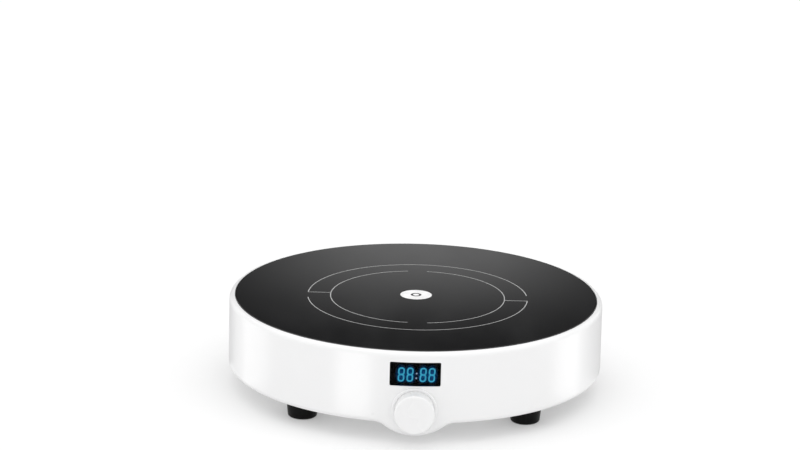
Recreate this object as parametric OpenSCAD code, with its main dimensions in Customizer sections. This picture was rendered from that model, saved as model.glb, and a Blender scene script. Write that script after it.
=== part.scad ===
// Round portable induction cooktop.
// Millimetres, +Z up, +X to the right, the front with the knob faces -Y.
// The origin is on the counter, under the middle of the whole object.

/* [Housing] */
// Width of the housing's rim around the glass
rim_w = 4.2; // [4.2:0.1:8]
// Height of the housing's wall, from its lower edge to the rim around the glass
drum_h = 56; // [56:0.5:75]
// Thickness of the housing's walls
wall = 2.5; // [2:0.1:3]
// Radius of the rounded shoulder under the glass
shoulder_r = 4; // [2:0.1:4.2]
// Radius of the wall's lower outer edge
edge_r = 4; // [3:0.1:5]
// Gap between two separate mouldings
seam_gap = 0.3; // [0.2:0.05:0.5]
// Width of the ledge that carries the glass
ledge_w = 8; // [6:0.5:12]
// Thickness of the ledge that carries the glass
ledge_t = 2.4; // [2:0.1:3.5]
// Width of each cooling slot in the rear wall
louvre_w = 3; // [2:0.1:3.5]
// Height of each cooling slot in the rear wall
louvre_h = 22; // [12:1:28]
// Cooling slots on each side of the cord's inlet
louvre_count = 5; // [2:1:5]

/* [Glass] */
// Diameter of the glass plate
glass_d = 280; // [270:1:310]
// Thickness of the glass plate
glass_t = 4; // [3:0.1:5]
// Height of the glass above the housing's rim
glass_proud = 0.5; // [0:0.1:1]
// Width of the ground bevel around the glass
glass_bevel = 0.7; // [0.3:0.1:1.5]
// Thickness of the silicone seal under the glass
seal_t = 0.5; // [0.3:0.1:1.2]

/* [Feet] */
// Height of each rubber foot
foot_h = 16; // [12:0.5:20]
// Diameter of a foot at its top
foot_top_d = 25.5; // [22:0.5:30]
// Diameter of a foot at the counter
foot_bottom_d = 22; // [18:0.5:22]
// Radius of a foot's lower edge
foot_edge_r = 2; // [1:0.1:3]
// Distance of a foot's top from the edge of the base
foot_inset = 7; // [2:0.1:12]

/* [Chin] */
// Drop of the chin below the housing's lower edge
chin_drop = 9.8; // [6:0.1:10]
// Radius of the chin's rounded bottom
chin_r = 38; // [34:0.5:45]
// Radius of the hollow curve between the chin and the housing's edge
chin_fillet_r = 14; // [8:0.5:18]
// Depth of the chin behind the housing's front
chin_depth = 26; // [22:0.5:34]

/* [Display window] */
// Width of the display window
window_w = 38; // [37:0.5:44]
// Height of the display window
window_h = 18.5; // [17:0.5:21]
// Height of the window's middle above the housing's lower edge
window_rise = 39.3; // [38:0.1:41]
// Radius of the window's corners
window_corner_r = 1; // [0.5:0.1:3]
// Width of the lens's hidden flange around the opening
lens_flange_w = 1.5; // [1:0.1:2]
// Thickness of the lens's hidden flange
lens_flange_t = 1; // [0.6:0.1:1.4]
// Gap between the lens and the edge of its opening
lens_gap = 0.15; // [0.1:0.05:0.3]

/* [Digits] */
// Height of a digit
digit_h = 11.7; // [9:0.1:13]
// Width of a digit
digit_w = 5.5; // [4.5:0.1:6]
// Width of a lit segment
segment_w = 1.3; // [0.8:0.1:1.5]
// Distance between the two digits of a pair
digit_pitch = 7.05; // [6.6:0.05:7.4]
// Distance between the two pairs' inner digits
pair_pitch = 10.6; // [10:0.1:12]
// Diameter of a colon dot
colon_d = 1.8; // [1:0.1:2.2]
// Distance between the colon's dots
colon_pitch = 3.5; // [2.5:0.1:6]
// Drop of the colon's middle below the digits' middle
colon_drop = 1.45; // [0:0.05:2.5]
// Slant of the digits in degrees
digit_slant = 3; // [0:0.5:8]
// Width of the display module
module_w = 35; // [33:0.5:36]
// Height of the display module
module_h = 16; // [14.5:0.5:16.5]
// Depth of the display module
module_depth = 7.2; // [6:0.1:7.5]

/* [Knob] */
// Diameter of the knob
knob_d = 30; // [28:0.5:31]
// Length of the knob
knob_l = 12.8; // [12:0.1:18]
// Height of the knob's axis above the housing's lower edge
knob_rise = 12.1; // [11:0.1:13]
// Radius of the knob's front edge
knob_edge_r = 1.2; // [0.5:0.1:2]
// Thickness of the knob's walls
knob_wall = 2; // [1.5:0.1:3]
// Outer diameter of the socket inside the knob
socket_d = 10; // [9:0.1:12]
// Travel of the knob when it is pressed
press_travel = 1.5; // [0.5:0.1:1.5]
// Diameter of the raised ring around the knob
ring_d = 34.2; // [34:0.1:35]
// Height of the raised ring above the housing's front
ring_out = 2.5; // [2:0.1:4]
// Gap between the knob and the ring
ring_gap = 0.4; // [0.4:0.05:0.8]

/* [Encoder] */
// Diameter of the encoder's shaft
shaft_d = 6; // [5:0.1:6]
// Depth of the flat on the shaft's end
shaft_flat = 1.5; // [1:0.1:2]
// Gap between the shaft and its bushing
shaft_gap = 0.03; // [0.02:0.01:0.06]
// Outer diameter of the threaded bushing
bushing_d = 7; // [6.8:0.1:8]
// Length of the threaded bushing
bushing_l = 7; // [6.4:0.1:7.2]
// Width of the encoder's body
encoder_w = 12; // [11.5:0.1:14]
// Width of the nut across its flats
nut_w = 10; // [9.5:0.1:12]
// Thickness of the nut
nut_t = 2; // [1.5:0.1:2.4]
// Thickness of the washer
washer_t = 0.5; // [0.3:0.1:0.8]

/* [Control board] */
// Distance of the control board's front behind the housing's front
board_setback = 12.5; // [12:0.1:14]
// Width of the control board
control_w = 80; // [76:0.5:90]
// Height of the control board
control_h = 44; // [42:0.5:45]
// Diameter of the buzzer
buzzer_d = 12; // [9:0.5:14]
// Depth of the buzzer
buzzer_t = 7; // [5:0.5:9]

/* [Base] */
// Thickness of the base pan's floor
base_t = 2.5; // [2:0.1:3]
// Height of the base pan's upright rim
base_rim_h = 4; // [2:0.5:8]
// Depth of the base pan's floor above the housing's lower edge
base_recess = 0.5; // [0:0.1:1]
// Width of the slots in the base pan
grille_w = 3.5; // [2.5:0.1:4]
// Length of the outlet slots in the base pan
outlet_l = 18; // [10:1:22]

/* [Boards and screws] */
// Thickness of a circuit board
board_t = 1.6; // [1.2:0.1:2]
// Height of the main board above the base pan's floor
board_rise = 5; // [4:0.5:7]
// Length of the main board, left to right
main_w = 120; // [116:1:122]
// Depth of the main board, front to back
main_l = 140; // [138:1:142]
// Diameter of a screw's shank
screw_d = 3; // [2.5:0.1:3.2]
// Diameter of a screw's head
screw_head_d = 5.6; // [5:0.1:6]
// Height of a screw's head
screw_head_h = 1.6; // [1.2:0.1:2]
// Length of a board screw's shank
screw_l = 6; // [5:0.5:7]
// Diameter of a screw post
post_d = 7.5; // [7:0.1:9]
// Clearance around a screw's shank
screw_gap = 0.1; // [0.05:0.05:0.2]
// Distance of the housing's screws from the inside of its wall
housing_screw_inset = 9; // [8:0.1:11]

/* [Fan] */
// Width of the square fan frame
fan_w = 80; // [70:1:82]
// Height of the fan frame
fan_h = 20; // [15:1:25]
// Distance between the fan's screws
fan_hole_pitch = 71.5; // [60:0.5:72]
// Wall between the fan's bore and the frame's side
fan_wall = 2; // [1:0.1:4]
// Running gap around the fan's blades
fan_tip_gap = 1; // [0.6:0.1:2]
// Outer diameter of the rotor's hub
fan_hub_d = 34; // [30:1:40]
// Number of blades
fan_blades = 7; // [5:1:9]
// Tilt of a blade in degrees
fan_tilt = 35; // [20:1:45]
// Thickness of a blade
fan_blade_t = 1.4; // [1:0.1:2]
// Diameter of the fan's shaft
fan_shaft_d = 3; // [2:0.1:3.2]
// Running gap between the shaft and its bearing
fan_bearing_gap = 0.04; // [0.02:0.01:0.08]

/* [Coil] */
// Diameter of the coil's wire
wire_d = 3.2; // [2.5:0.1:3.3]
// Distance between the coil's turns
wire_pitch = 3.5; // [3.4:0.05:3.6]
// Turns of the coil
coil_turns = 17; // [12:1:17]
// Radius of the coil's first turn
coil_inner_r = 23; // [21:0.5:24]
// Thickness of the coil former's plate
former_t = 2.5; // [2:0.1:3.5]
// Gap between the insulation sheet and the glass
coil_gap = 1; // [0.5:0.1:3]
// Thickness of the insulation sheet
sheet_t = 1; // [0.5:0.1:2]
// Thickness of a ferrite bar
ferrite_t = 5; // [3:0.5:6]
// Width of a ferrite bar
ferrite_w = 12; // [8:0.5:14]
// Length of a ferrite bar
ferrite_l = 54; // [40:1:56]
// Distance of the coil's posts from the middle
coil_post_r = 94; // [93:0.5:96]
// Diameter of the temperature sensor's holder
sensor_holder_d = 18; // [14:0.5:22]
// Diameter of the temperature sensor
sensor_d = 6.4; // [4:0.1:8]
// Thickness of the temperature sensor
sensor_t = 2.8; // [2:0.1:4]

/* [Cord inlet] */
// Diameter of the gland's bore
gland_bore_d = 7.4; // [6:0.1:9]
// Outer diameter of the gland's flange
gland_d = 23; // [20:0.5:26]
// Diameter of the gland's neck
gland_neck_d = 17; // [14:0.5:17.5]
// Reach of the gland's flange behind the housing
gland_out = 2; // [1:0.1:5]
// Height of the gland's axis above the housing's lower edge
gland_rise = 20; // [18:0.5:30]

/* [Hidden] */
$fn = 64;
// Overlap of two shapes that are joined into one
join = 0.5;
// Play of a piece that drops into its seat
seat_gap = 0.2;

// Levels, from the counter upwards
drum_z = foot_h - base_recess;
rim_z = drum_z + drum_h;
glass_top_z = rim_z + glass_proud;
glass_z = glass_top_z - glass_t;
ledge_z = glass_z - seal_t;
pan_floor_z = foot_h + base_t;
main_z = pan_floor_z + board_rise;
main_top_z = main_z + board_t;
sheet_z = glass_z - coil_gap - sheet_t;
coil_z = sheet_z - wire_d;
former_z = coil_z - former_t;
ferrite_z = former_z - ferrite_t;

// Rims and seats around the axis of the drum
glass_r = glass_d / 2;
opening_r = glass_r + seam_gap;
drum_r = opening_r + rim_w;
inner_r = drum_r - wall;
housing_screw_r = inner_r - housing_screw_inset;
shoulder_fillet = min(shoulder_r, rim_w - 0.2);
pan_opening_r = drum_r - edge_r - 1;
pan_r = pan_opening_r - seam_gap;
foot_reach = (pan_r - foot_top_d / 2 - foot_inset) / sqrt(2);

// The front, measured from the axis of the drum
front_y = -drum_r;
knob_z = drum_z + knob_rise;
ring_face_y = front_y - ring_out;
recess_y = front_y + 0.2;
press_gap = 0.4;
knob_rear_y = recess_y - press_gap - press_travel;
knob_front_y = knob_rear_y - knob_l;
pad_t = 1;
pad_margin = 2;
encoder_seat_y = -inner_r + pad_t;
bushing_tip_y = encoder_seat_y - bushing_l;
socket_rear_y = bushing_tip_y - press_gap - press_travel;
knob_face_t = knob_wall + 1;
shaft_tip_y = knob_front_y + knob_face_t + 1;
board_front_y = front_y + board_setback;
board_rear_y = board_front_y + board_t;
window_z = drum_z + window_rise;
// The lens lies this far behind the wall's face and behind its inside
lens_inset = 0.1;

// The rear
gland_z = drum_z + gland_rise;
gland_seat_y = drum_r - 0.8;
gland_rear_y = drum_r + gland_out;
gland_inner_y = inner_r - 0.6;
gland_front_y = gland_inner_y - 2;

// The drum's axis stands behind the origin, so that the whole object is centred on the origin
drum_y = (-knob_front_y - gland_rear_y) / 2;

// The main board and what stands beside it, measured from the axis of the drum
main_x0 = -14;
main_y0 = -76;
main_hole_inset = 5;
board_edge_gap = 4;
fan_angle = 151.75;
fan_inset = 66;
fan_r = inner_r - fan_inset;
fan_x = fan_r * cos(fan_angle);
fan_y = fan_r * sin(fan_angle);
fan_z = pan_floor_z + 2;
coil_post_angles = [80, 200, 320];
housing_screw_angles = [15, 65, 115, 165, 232, 308];
coil_end_x = coil_inner_r + coil_turns * wire_pitch;
coil_elbow_r = 5;
former_rim_t = 1.2;
former_hub_t = 2;
former_r = coil_end_x + wire_d / 2 + former_rim_t + join;
ferrite_mid_r = coil_inner_r + 3 + ferrite_l / 2;
cradle_rib_t = 1.2;
terminal_w = 9;
terminal_h = 12;
control_hole_inset = 4;
control_hole_x = control_w / 2 - control_hole_inset;
control_z = drum_z + 4;

// The knob's clip and the encoder's inside
clip_t = 0.4;
rotor_r = 5;
rotor_t = 2;
dome_d = 7;
encoder_front_t = 1.5;
encoder_rear_t = 1.2;

// Length of the screw inside a foot, and the bars of the fan's grille
foot_grip = 6;
grille_bar_w = 4;

// Parts on the back of the control board: [x, height above its lower edge, width, depth, height]
control_parts = [
    [-18, 24, 18, 2.6, 11],
    [6, 28, 10, 2, 7],
    [20, 30, 4, 3.6, 11]
];
buzzer_x = -26;
buzzer_rise = 12;

// The flat cable, the sockets at its ends and the pitch of the round leads
ribbon_x = 11;
ribbon_w = 14;
ribbon_t = 0.8;
ribbon_rise = 8;
ribbon_bend = 9;
socket_w = 18;
socket_l = 6;
socket_h = 6;
socket_inset = 5;
lead_pitch = 2.4;

// The heatsink and the power devices under its plate
heatsink_x = 27;
heatsink_y = 40;
heatsink_w = 60;
heatsink_l = 40;
heatsink_h = 24;
heatsink_plate_t = 4;
heatsink_leg_w = 6;
heatsink_fin_t = 1.6;
heatsink_fins = 9;
device_t = 5;
device_rise = 3;
plate_z = main_top_z + device_rise + device_t;

// Blocks on the main board: [x, y, width, length, height]
film_capacitor_blocks = [
    [78, 25, 32, 14, 22],
    [78, 47, 32, 18, 24],
    [84, -28, 26, 11, 19]
];
// Round cans on the main board: [x, y, diameter, height]
electrolytic_cans = [
    [-5, -22, 10, 16],
    [-5, -36, 8, 12],
    [11, -55, 10, 16]
];
choke_x = 46;
choke_y = -29;
choke_core_r = 13;
choke_core_hole_r = 7;
choke_core_t = 12;
choke_wire_t = 2.2;
fuse_x = 38;
fuse_y = -66;
fuse_d = 5;
fuse_l = 20;
fuse_rise = 4;
varistor_x = 52;
varistor_y = -58;
varistor_d = 14;
varistor_t = 5;
transformer_x = 16;
transformer_y = -34;
transformer_w = 16;
transformer_l = 18;
transformer_h = 17;
transformer_flange_t = 4;
sense_x = 64;
sense_y = -4;
sense_w = 16;
sense_l = 9;
sense_hole_d = 5;
mains_socket_x = 91;
mains_socket_y = -50;
mains_socket = [20, 12, 12];
fan_socket = [8, 8, 7];
sensor_socket = [9, 6, 6];
fan_cable_y = 8;

// The fan, measured from its axis
fan_bore_r = fan_w / 2 - fan_wall;
fan_hub_r = fan_hub_d / 2;
fan_tube_r = 4;
fan_tube_h = fan_h - 6;
fan_bearing_r = 3;
fan_spider_t = 2;
stator_core_r = 9;
stator_h = 8;
pole_l = 6;
pole_w = 5;
fan_arm_w = 4;

// Chin outline: a round bottom that runs out into the housing's edge
chin_zc = drum_z - chin_drop + chin_r;
chin_fillet_z = drum_z - chin_fillet_r;
chin_half_w = sqrt((chin_r + chin_fillet_r) ^ 2 - (chin_zc - chin_fillet_z) ^ 2);
chin_tangent_x = chin_half_w * chin_r / (chin_r + chin_fillet_r);
chin_back_y = front_y + chin_depth;
chin_top_z = drum_z + edge_r + join;
chin_inner_z = drum_z + wall + base_t;
// The chin stands this much proud of the wall, so that the two never share a surface
chin_proud = 0.04;

white = [0.93, 0.93, 0.94];
black = [0.06, 0.06, 0.07];
steel = [0.72, 0.73, 0.75];
brass = [0.78, 0.63, 0.32];
copper = [0.72, 0.42, 0.22];
board_green = [0.10, 0.36, 0.22];

// ---- Helpers ----

// Moves a piece from the axis of the drum to its place over the origin
module placed() {
    translate([0, drum_y, 0])
        children();
}

// Lays a shape drawn along +Z so that it runs forward, along -Y, from y
module facing_front(x, y, z) {
    translate([x, y, z])
        rotate([90, 0, 0])
            children();
}

// Half outline of a round block with rounded outer edges
module block_outline(r, z_low, z_high, r_low, r_high) {
    translate([0, z_low + r_low])
        square([r, z_high - z_low - r_low - r_high]);
    translate([0, z_low])
        square([r - r_low, r_low + join]);
    translate([0, z_high - r_high - join])
        square([r - r_high, r_high + join]);
    translate([r - r_low, z_low + r_low])
        circle(r_low);
    translate([r - r_high, z_high - r_high])
        circle(r_high);
}

module ring(r_outer, r_inner, h) {
    difference() {
        cylinder(r = r_outer, h = h);
        translate([0, 0, -1])
            cylinder(r = r_inner, h = h + 2);
    }
}

module rounded_rectangle(w, h, r) {
    square([w - 2 * r, h], center = true);
    square([w, h - 2 * r], center = true);
    for (x = [-1, 1], y = [-1, 1])
        translate([x * (w / 2 - r), y * (h / 2 - r)])
            circle(r);
}

// A box given by its middle in X and Y and its lowest Z
module block(x, y, z, size) {
    translate([x - size[0] / 2, y - size[1] / 2, z])
        cube(size);
}

// Cross-head screw: the head stands on z = 0 and the shank runs down
module screw(length) {
    difference() {
        union() {
            cylinder(d = screw_head_d, h = screw_head_h);
            translate([0, 0, -length])
                cylinder(d = screw_d, h = length + join);
        }
        for (turn = [0, 90])
            rotate(turn)
                block(0, 0, screw_head_h / 2, [screw_head_d * 0.6, 0.8, screw_head_h]);
    }
}

// A hollow post that a screw bites into from above
module post(h) {
    difference() {
        cylinder(d = post_d, h = h);
        translate([0, 0, h - screw_l - 1])
            cylinder(d = screw_d + 2 * screw_gap, h = screw_l + 2);
    }
}

// ---- Housing ----

// Height of the chin's bottom at a distance x from its middle
function chin_bottom(x) =
    abs(x) <= chin_tangent_x
        ? chin_zc - sqrt(chin_r ^ 2 - x ^ 2)
        : chin_fillet_z + sqrt(chin_fillet_r ^ 2 - (chin_half_w - abs(x)) ^ 2);

// Cross-section of the chin at x, from the top of its front round the lower edge to the back
function chin_section(x) =
    let (r = drum_r + chin_proud, low_z = chin_bottom(x) - chin_proud)
        concat(
            [[x, -sqrt(r ^ 2 - x ^ 2), chin_top_z]],
            [for (t = [0 : 15 : 90])
                let (edge = r - edge_r * (1 - cos(t)))
                    [x, -sqrt(edge ^ 2 - x ^ 2), low_z + edge_r * (1 - sin(t))]],
            [[x, chin_back_y, low_z], [x, chin_back_y, chin_top_z]]
        );

// Outside of the chin: its front follows the round wall and its lower edge is rounded like the drum's
module chin_block() {
    columns = 32;
    sections = [for (i = [0 : columns]) chin_section(chin_half_w * (2 * i / columns - 1))];
    n = len(sections[0]);
    polyhedron(
        points = [for (section = sections) each section],
        faces = concat(
            [[for (j = [0 : n - 1]) j]],
            [for (i = [0 : columns - 1], j = [0 : n - 1])
                let (k = (j + 1) % n)
                    [i * n + j, (i + 1) * n + j, (i + 1) * n + k, i * n + k]],
            [[for (j = [n - 1 : -1 : 0]) columns * n + j]]
        )
    );
}

// Inside of the chin
module chin_hollow() {
    columns = 24;
    floor_line = [
        for (i = [0 : columns])
            let (x = chin_half_w * (2 * i / columns - 1))
                [x, chin_bottom(x) + wall]
    ];
    intersection() {
        facing_front(0, chin_back_y - wall, 0)
            linear_extrude(chin_depth)
                polygon(concat(floor_line, [[chin_half_w, chin_inner_z], [-chin_half_w, chin_inner_z]]));
        cylinder(r = inner_r, h = rim_z);
    }
}

module upper_housing() {
    color(white)
        placed()
            difference() {
                union() {
                    housing_shell();
                    chin_shell();
                    knob_ring();
                    housing_posts();
                    control_posts();
                    encoder_pad();
                }
                knob_ring_recess();
                window_opening(window_w, window_h, window_corner_r);
                lens_seat();
                gland_opening();
                louvres();
            }
}

module housing_shell() {
    difference() {
        rotate_extrude()
            difference() {
                block_outline(drum_r, drum_z, rim_z, edge_r, shoulder_fillet);
                translate([0, drum_z + wall])
                    square([inner_r, ledge_z - ledge_t - drum_z - wall]);
                square([pan_opening_r, drum_z + wall + 1]);
                square([opening_r - ledge_w, rim_z + 1]);
                translate([0, ledge_z])
                    square([opening_r, drum_h]);
            }
        chin_hollow();
    }
}

module chin_shell() {
    difference() {
        chin_block();
        chin_hollow();
        translate([0, 0, drum_z + wall])
            cylinder(r = inner_r, h = drum_h);
    }
}

// Raised ring that the knob sits in
module knob_ring() {
    facing_front(0, front_y + 1.5, knob_z)
        rotate_extrude()
            block_outline(ring_d / 2, 0, ring_out + 1.5, 0.2, 0.8);
}

module knob_ring_recess() {
    facing_front(0, recess_y, knob_z)
        cylinder(d = knob_d + 2 * ring_gap, h = drum_h);
    facing_front(0, encoder_seat_y + 1, knob_z)
        cylinder(d = bushing_d + 2 * seat_gap, h = drum_h);
}

// Flat pad behind the curved wall for the encoder's body
module encoder_pad() {
    depth = pad_t + join;
    side = encoder_w + 2 * pad_margin;
    block(0, encoder_seat_y - depth / 2, knob_z - side / 2, [side, depth, side]);
}

// Posts along the wall that the housing's screws bite into
module housing_posts() {
    height = ledge_z - pan_floor_z - join;
    for (a = housing_screw_angles)
        rotate(a)
            translate([0, 0, pan_floor_z])
                difference() {
                    union() {
                        translate([housing_screw_r, 0, 0])
                            cylinder(d = post_d, h = height);
                        translate([housing_screw_r, -wall / 2, 0])
                            cube([inner_r - housing_screw_r + join, wall, height]);
                    }
                    translate([housing_screw_r, 0, -1])
                        cylinder(d = screw_d + 2 * screw_gap, h = 2 * screw_l + 1);
                }
}

// Posts behind the front wall that carry the control board
module control_posts() {
    for (x = [-control_hole_x, control_hole_x], z = control_hole_heights())
        difference() {
            intersection() {
                facing_front(x, board_front_y, z)
                    cylinder(d = 6, h = 2 * board_setback);
                cylinder(r = inner_r + join, h = rim_z);
            }
            facing_front(x, board_front_y + 1, z)
                cylinder(d = screw_d + 2 * screw_gap, h = screw_l - board_t + 1);
        }
}

function control_hole_heights() =
    [control_z + control_hole_inset, control_z + control_h - control_hole_inset];

// Cuts the window through the front wall
module window_opening(w, h, r) {
    facing_front(0, -inner_r / 2, window_z)
        linear_extrude(drum_r)
            rounded_rectangle(w, h, r);
}

// Room behind the wall for the lens's flange
module lens_seat() {
    room = 2 * lens_flange_w + 2 * seat_gap;
    intersection() {
        window_opening(window_w + room, window_h + room, window_corner_r);
        cylinder(r = inner_r, h = rim_z);
    }
}

module gland_opening() {
    facing_front(0, gland_rear_y, gland_z) {
        cylinder(d = gland_neck_d + 2 * seat_gap, h = gland_rear_y - gland_front_y);
        cylinder(d = gland_d + 2 * seat_gap, h = gland_rear_y - gland_seat_y);
    }
}

// Upright cooling slots in the rear wall, beside the gland
module louvres() {
    for (side = [-1, 1], i = [0 : louvre_count - 1])
        rotate(side * (8 + 3 * i))
            translate([-louvre_w / 2, inner_r - 2, gland_z - louvre_h / 2])
                cube([louvre_w, drum_r, louvre_h]);
}

module glass_plate() {
    color(black)
        placed()
            translate([0, 0, glass_z])
                rotate_extrude()
                    polygon([
                        [0, 0],
                        [glass_r, 0],
                        [glass_r, glass_t - glass_bevel],
                        [glass_r - glass_bevel, glass_t],
                        [0, glass_t]
                    ]);
}

module glass_seal() {
    color("dimgray")
        placed()
            translate([0, 0, ledge_z])
                ring(glass_r - 0.5, opening_r - ledge_w + 1, seal_t);
}

// Dark lens that fills the window and is held by a flange behind the wall
module display_window() {
    face_r = drum_r - lens_inset;
    seat_r = inner_r - lens_inset;
    back_r = seat_r - lens_flange_t;
    flange = 2 * lens_flange_w;
    color([0.03, 0.03, 0.05])
        placed() {
            intersection() {
                window_opening(window_w - 2 * lens_gap, window_h - 2 * lens_gap, window_corner_r);
                ring(face_r, back_r, rim_z);
            }
            intersection() {
                window_opening(window_w + flange, window_h + flange, window_corner_r);
                ring(seat_r, back_r, rim_z);
            }
        }
}

// Rubber gland that the power cord comes out of
module cord_gland() {
    color(black)
        placed()
            facing_front(0, gland_rear_y, gland_z)
                difference() {
                    union() {
                        cylinder(d = gland_d, h = gland_rear_y - gland_seat_y);
                        cylinder(d = gland_neck_d, h = gland_rear_y - gland_front_y);
                        translate([0, 0, gland_rear_y - gland_inner_y])
                            cylinder(d = gland_neck_d + 3, h = gland_inner_y - gland_front_y);
                    }
                    translate([0, 0, -1])
                        cylinder(d = gland_bore_d, h = gland_rear_y - gland_front_y + 2);
                }
}

// ---- Base ----

module base_pan() {
    color(white)
        placed()
            difference() {
                union() {
                    base_floor();
                    base_posts();
                }
                housing_screw_holes();
                foot_screw_holes();
                inlet_grille();
                outlet_slots();
            }
}

// Floor, notched where the chin comes down
module base_floor() {
    difference() {
        union() {
            translate([0, 0, foot_h])
                cylinder(r = pan_r, h = base_t);
            base_rim();
        }
        translate([-chin_half_w - seam_gap, -drum_r, 0])
            cube([2 * (chin_half_w + seam_gap), chin_depth + seam_gap, rim_z]);
    }
}

// Rim of the floor, open where posts and the control board stand
module base_rim() {
    difference() {
        translate([0, 0, pan_floor_z - join])
            ring(pan_r, pan_r - wall, base_rim_h + join);
        for (a = housing_screw_angles)
            rotate(a)
                translate([housing_screw_r + post_d / 2, 0, 0])
                    block(0, 0, 0, [2 * post_d, post_d + 2 * seam_gap, rim_z]);
        for (p = main_hole_places())
            translate(p)
                cylinder(d = post_d, h = rim_z);
        block(0, -drum_r, 0, [control_w + 2, 2 * (board_setback + board_t + 1), rim_z]);
    }
}

module base_posts() {
    translate([0, 0, pan_floor_z - join]) {
        for (p = main_hole_places())
            translate(p)
                post(board_rise + join);
        for (p = fan_hole_places())
            translate(p)
                post(fan_z - pan_floor_z + join);
        for (p = foot_places())
            translate(p)
                post(screw_l + 2 + join);
        for (a = coil_post_angles)
            rotate(a)
                translate([coil_post_r, 0, 0])
                    post(former_z - pan_floor_z + join);
    }
}

function main_hole_places() = [
    for (x = [main_x0 + main_hole_inset, main_x0 + main_w - main_hole_inset])
        for (y = [main_y0 + main_hole_inset, main_y0 + main_l - main_hole_inset])
            [x, y, 0]
];

function fan_hole_places() = [
    for (x = [-1, 1], y = [-1, 1])
        [fan_x + x * fan_hole_pitch / 2, fan_y + y * fan_hole_pitch / 2, 0]
];

function foot_places() = [
    for (y = [-1, 1], x = [-1, 1])
        [x * foot_reach, y * foot_reach, 0]
];

// Recessed holes, so that the heads lie flush under the floor
module housing_screw_holes() {
    for (a = housing_screw_angles)
        rotate(a)
            translate([housing_screw_r, 0, 0]) {
                cylinder(d = screw_d + 2 * screw_gap, h = pan_floor_z + 1);
                cylinder(d = screw_head_d + 2 * seat_gap, h = foot_h + base_t - 1);
            }
}

module foot_screw_holes() {
    for (p = foot_places())
        translate(p)
            cylinder(d = screw_d + 2 * screw_gap, h = pan_floor_z + screw_l);
}

// Round slots under the fan, crossed by four bars
module inlet_grille() {
    slot_step = 2 * grille_w;
    last_r = fan_bore_r - grille_w - 2;
    difference() {
        for (r = [slot_step : slot_step : last_r])
            translate([fan_x, fan_y, foot_h - 1])
                ring(r + grille_w, r, base_t + 2);
        for (turn = [45, 135])
            translate([fan_x, fan_y, 0])
                rotate(turn)
                    block(0, 0, 0, [fan_w, grille_bar_w, rim_z]);
    }
}

// Outlet slots between the right-hand feet
module outlet_slots() {
    for (a = [-32 : 4 : 4])
        rotate(a)
            block(housing_screw_r - 3 - outlet_l / 2, 0, foot_h - 1, [outlet_l, grille_w, base_t + 2]);
}

module foot(x, y) {
    top_r = foot_top_d / 2;
    bottom_r = foot_bottom_d / 2;
    taper = atan((top_r - bottom_r) / foot_h);
    edge_x = bottom_r - foot_edge_r * (1 - sin(taper)) / cos(taper);
    rounding = [
        for (i = [0 : 10])
            let (turn = i * (90 - taper) / 10)
                [edge_x + foot_edge_r * sin(turn), foot_edge_r * (1 - cos(turn))]
    ];
    color(black)
        placed()
            translate([x * foot_reach, y * foot_reach, 0])
                difference() {
                    rotate_extrude()
                        polygon(concat([[0, 0]], rounding, [[top_r, foot_h], [0, foot_h]]));
                    translate([0, 0, -1])
                        cylinder(d = screw_d + 2 * screw_gap, h = foot_h + 2);
                    translate([0, 0, -1])
                        cylinder(d = screw_head_d + 2 * seat_gap, h = foot_h - foot_grip + 1);
                }
}

module foot_screws() {
    color(steel)
        placed()
            for (p = foot_places())
                translate(p + [0, 0, foot_h - foot_grip])
                    rotate([180, 0, 0])
                        screw(foot_grip + base_t + screw_l - 1);
}

module housing_screws() {
    color(steel)
        placed()
            for (a = housing_screw_angles)
                rotate(a)
                    translate([housing_screw_r, 0, pan_floor_z - 1])
                        rotate([180, 0, 0])
                            screw(2 * screw_l);
}

// ---- Knob and encoder ----

module knob() {
    socket_end_y = shaft_tip_y - seat_gap;
    color(white)
        placed()
            difference() {
                union() {
                    facing_front(0, knob_rear_y, knob_z)
                        rotate_extrude()
                            difference() {
                                block_outline(knob_d / 2, 0, knob_l, 0.4, knob_edge_r);
                                translate([0, -1])
                                    square([knob_d / 2 - knob_wall, knob_l - knob_face_t + 1]);
                            }
                    facing_front(0, socket_rear_y, knob_z)
                        cylinder(d = socket_d, h = socket_rear_y - knob_front_y - 1);
                }
                difference() {
                    facing_front(0, socket_rear_y + 1, knob_z)
                        cylinder(d = shaft_d + 0.1, h = socket_rear_y + 1 - socket_end_y);
                    block(0, (socket_rear_y + socket_end_y) / 2, flat_z() + clip_t + 0.05,
                        [shaft_d + 1, socket_rear_y - socket_end_y + 4, shaft_d]);
                }
            }
}

function flat_z() = knob_z + shaft_d / 2 - shaft_flat;

// Sprung steel strip between the shaft's flat and the knob's socket
module knob_clip() {
    length = socket_rear_y - shaft_tip_y - 1;
    color(steel)
        placed()
            block(0, shaft_tip_y + length / 2 + 0.5, flat_z() + 0.02, [2.8, length, clip_t]);
}

module encoder_shaft() {
    end_y = switch_y() - press_travel - press_gap / 2;
    color(steel)
        placed()
            difference() {
                facing_front(0, end_y, knob_z)
                    cylinder(d = shaft_d, h = end_y - shaft_tip_y);
                block(0, (socket_rear_y + shaft_tip_y) / 2, flat_z(),
                    [shaft_d + 1, socket_rear_y - shaft_tip_y + 0.8, shaft_d]);
            }
}

// Where the dome lies, on the inside of the encoder's rear wall
function switch_y() = board_front_y - encoder_rear_t;

// Contact disc that turns with the shaft
module encoder_rotor() {
    color("peru")
        placed()
            facing_front(0, encoder_seat_y + encoder_front_t + seat_gap + rotor_t, knob_z)
                ring(rotor_r, shaft_d / 2 + shaft_gap, rotor_t);
}

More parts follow.
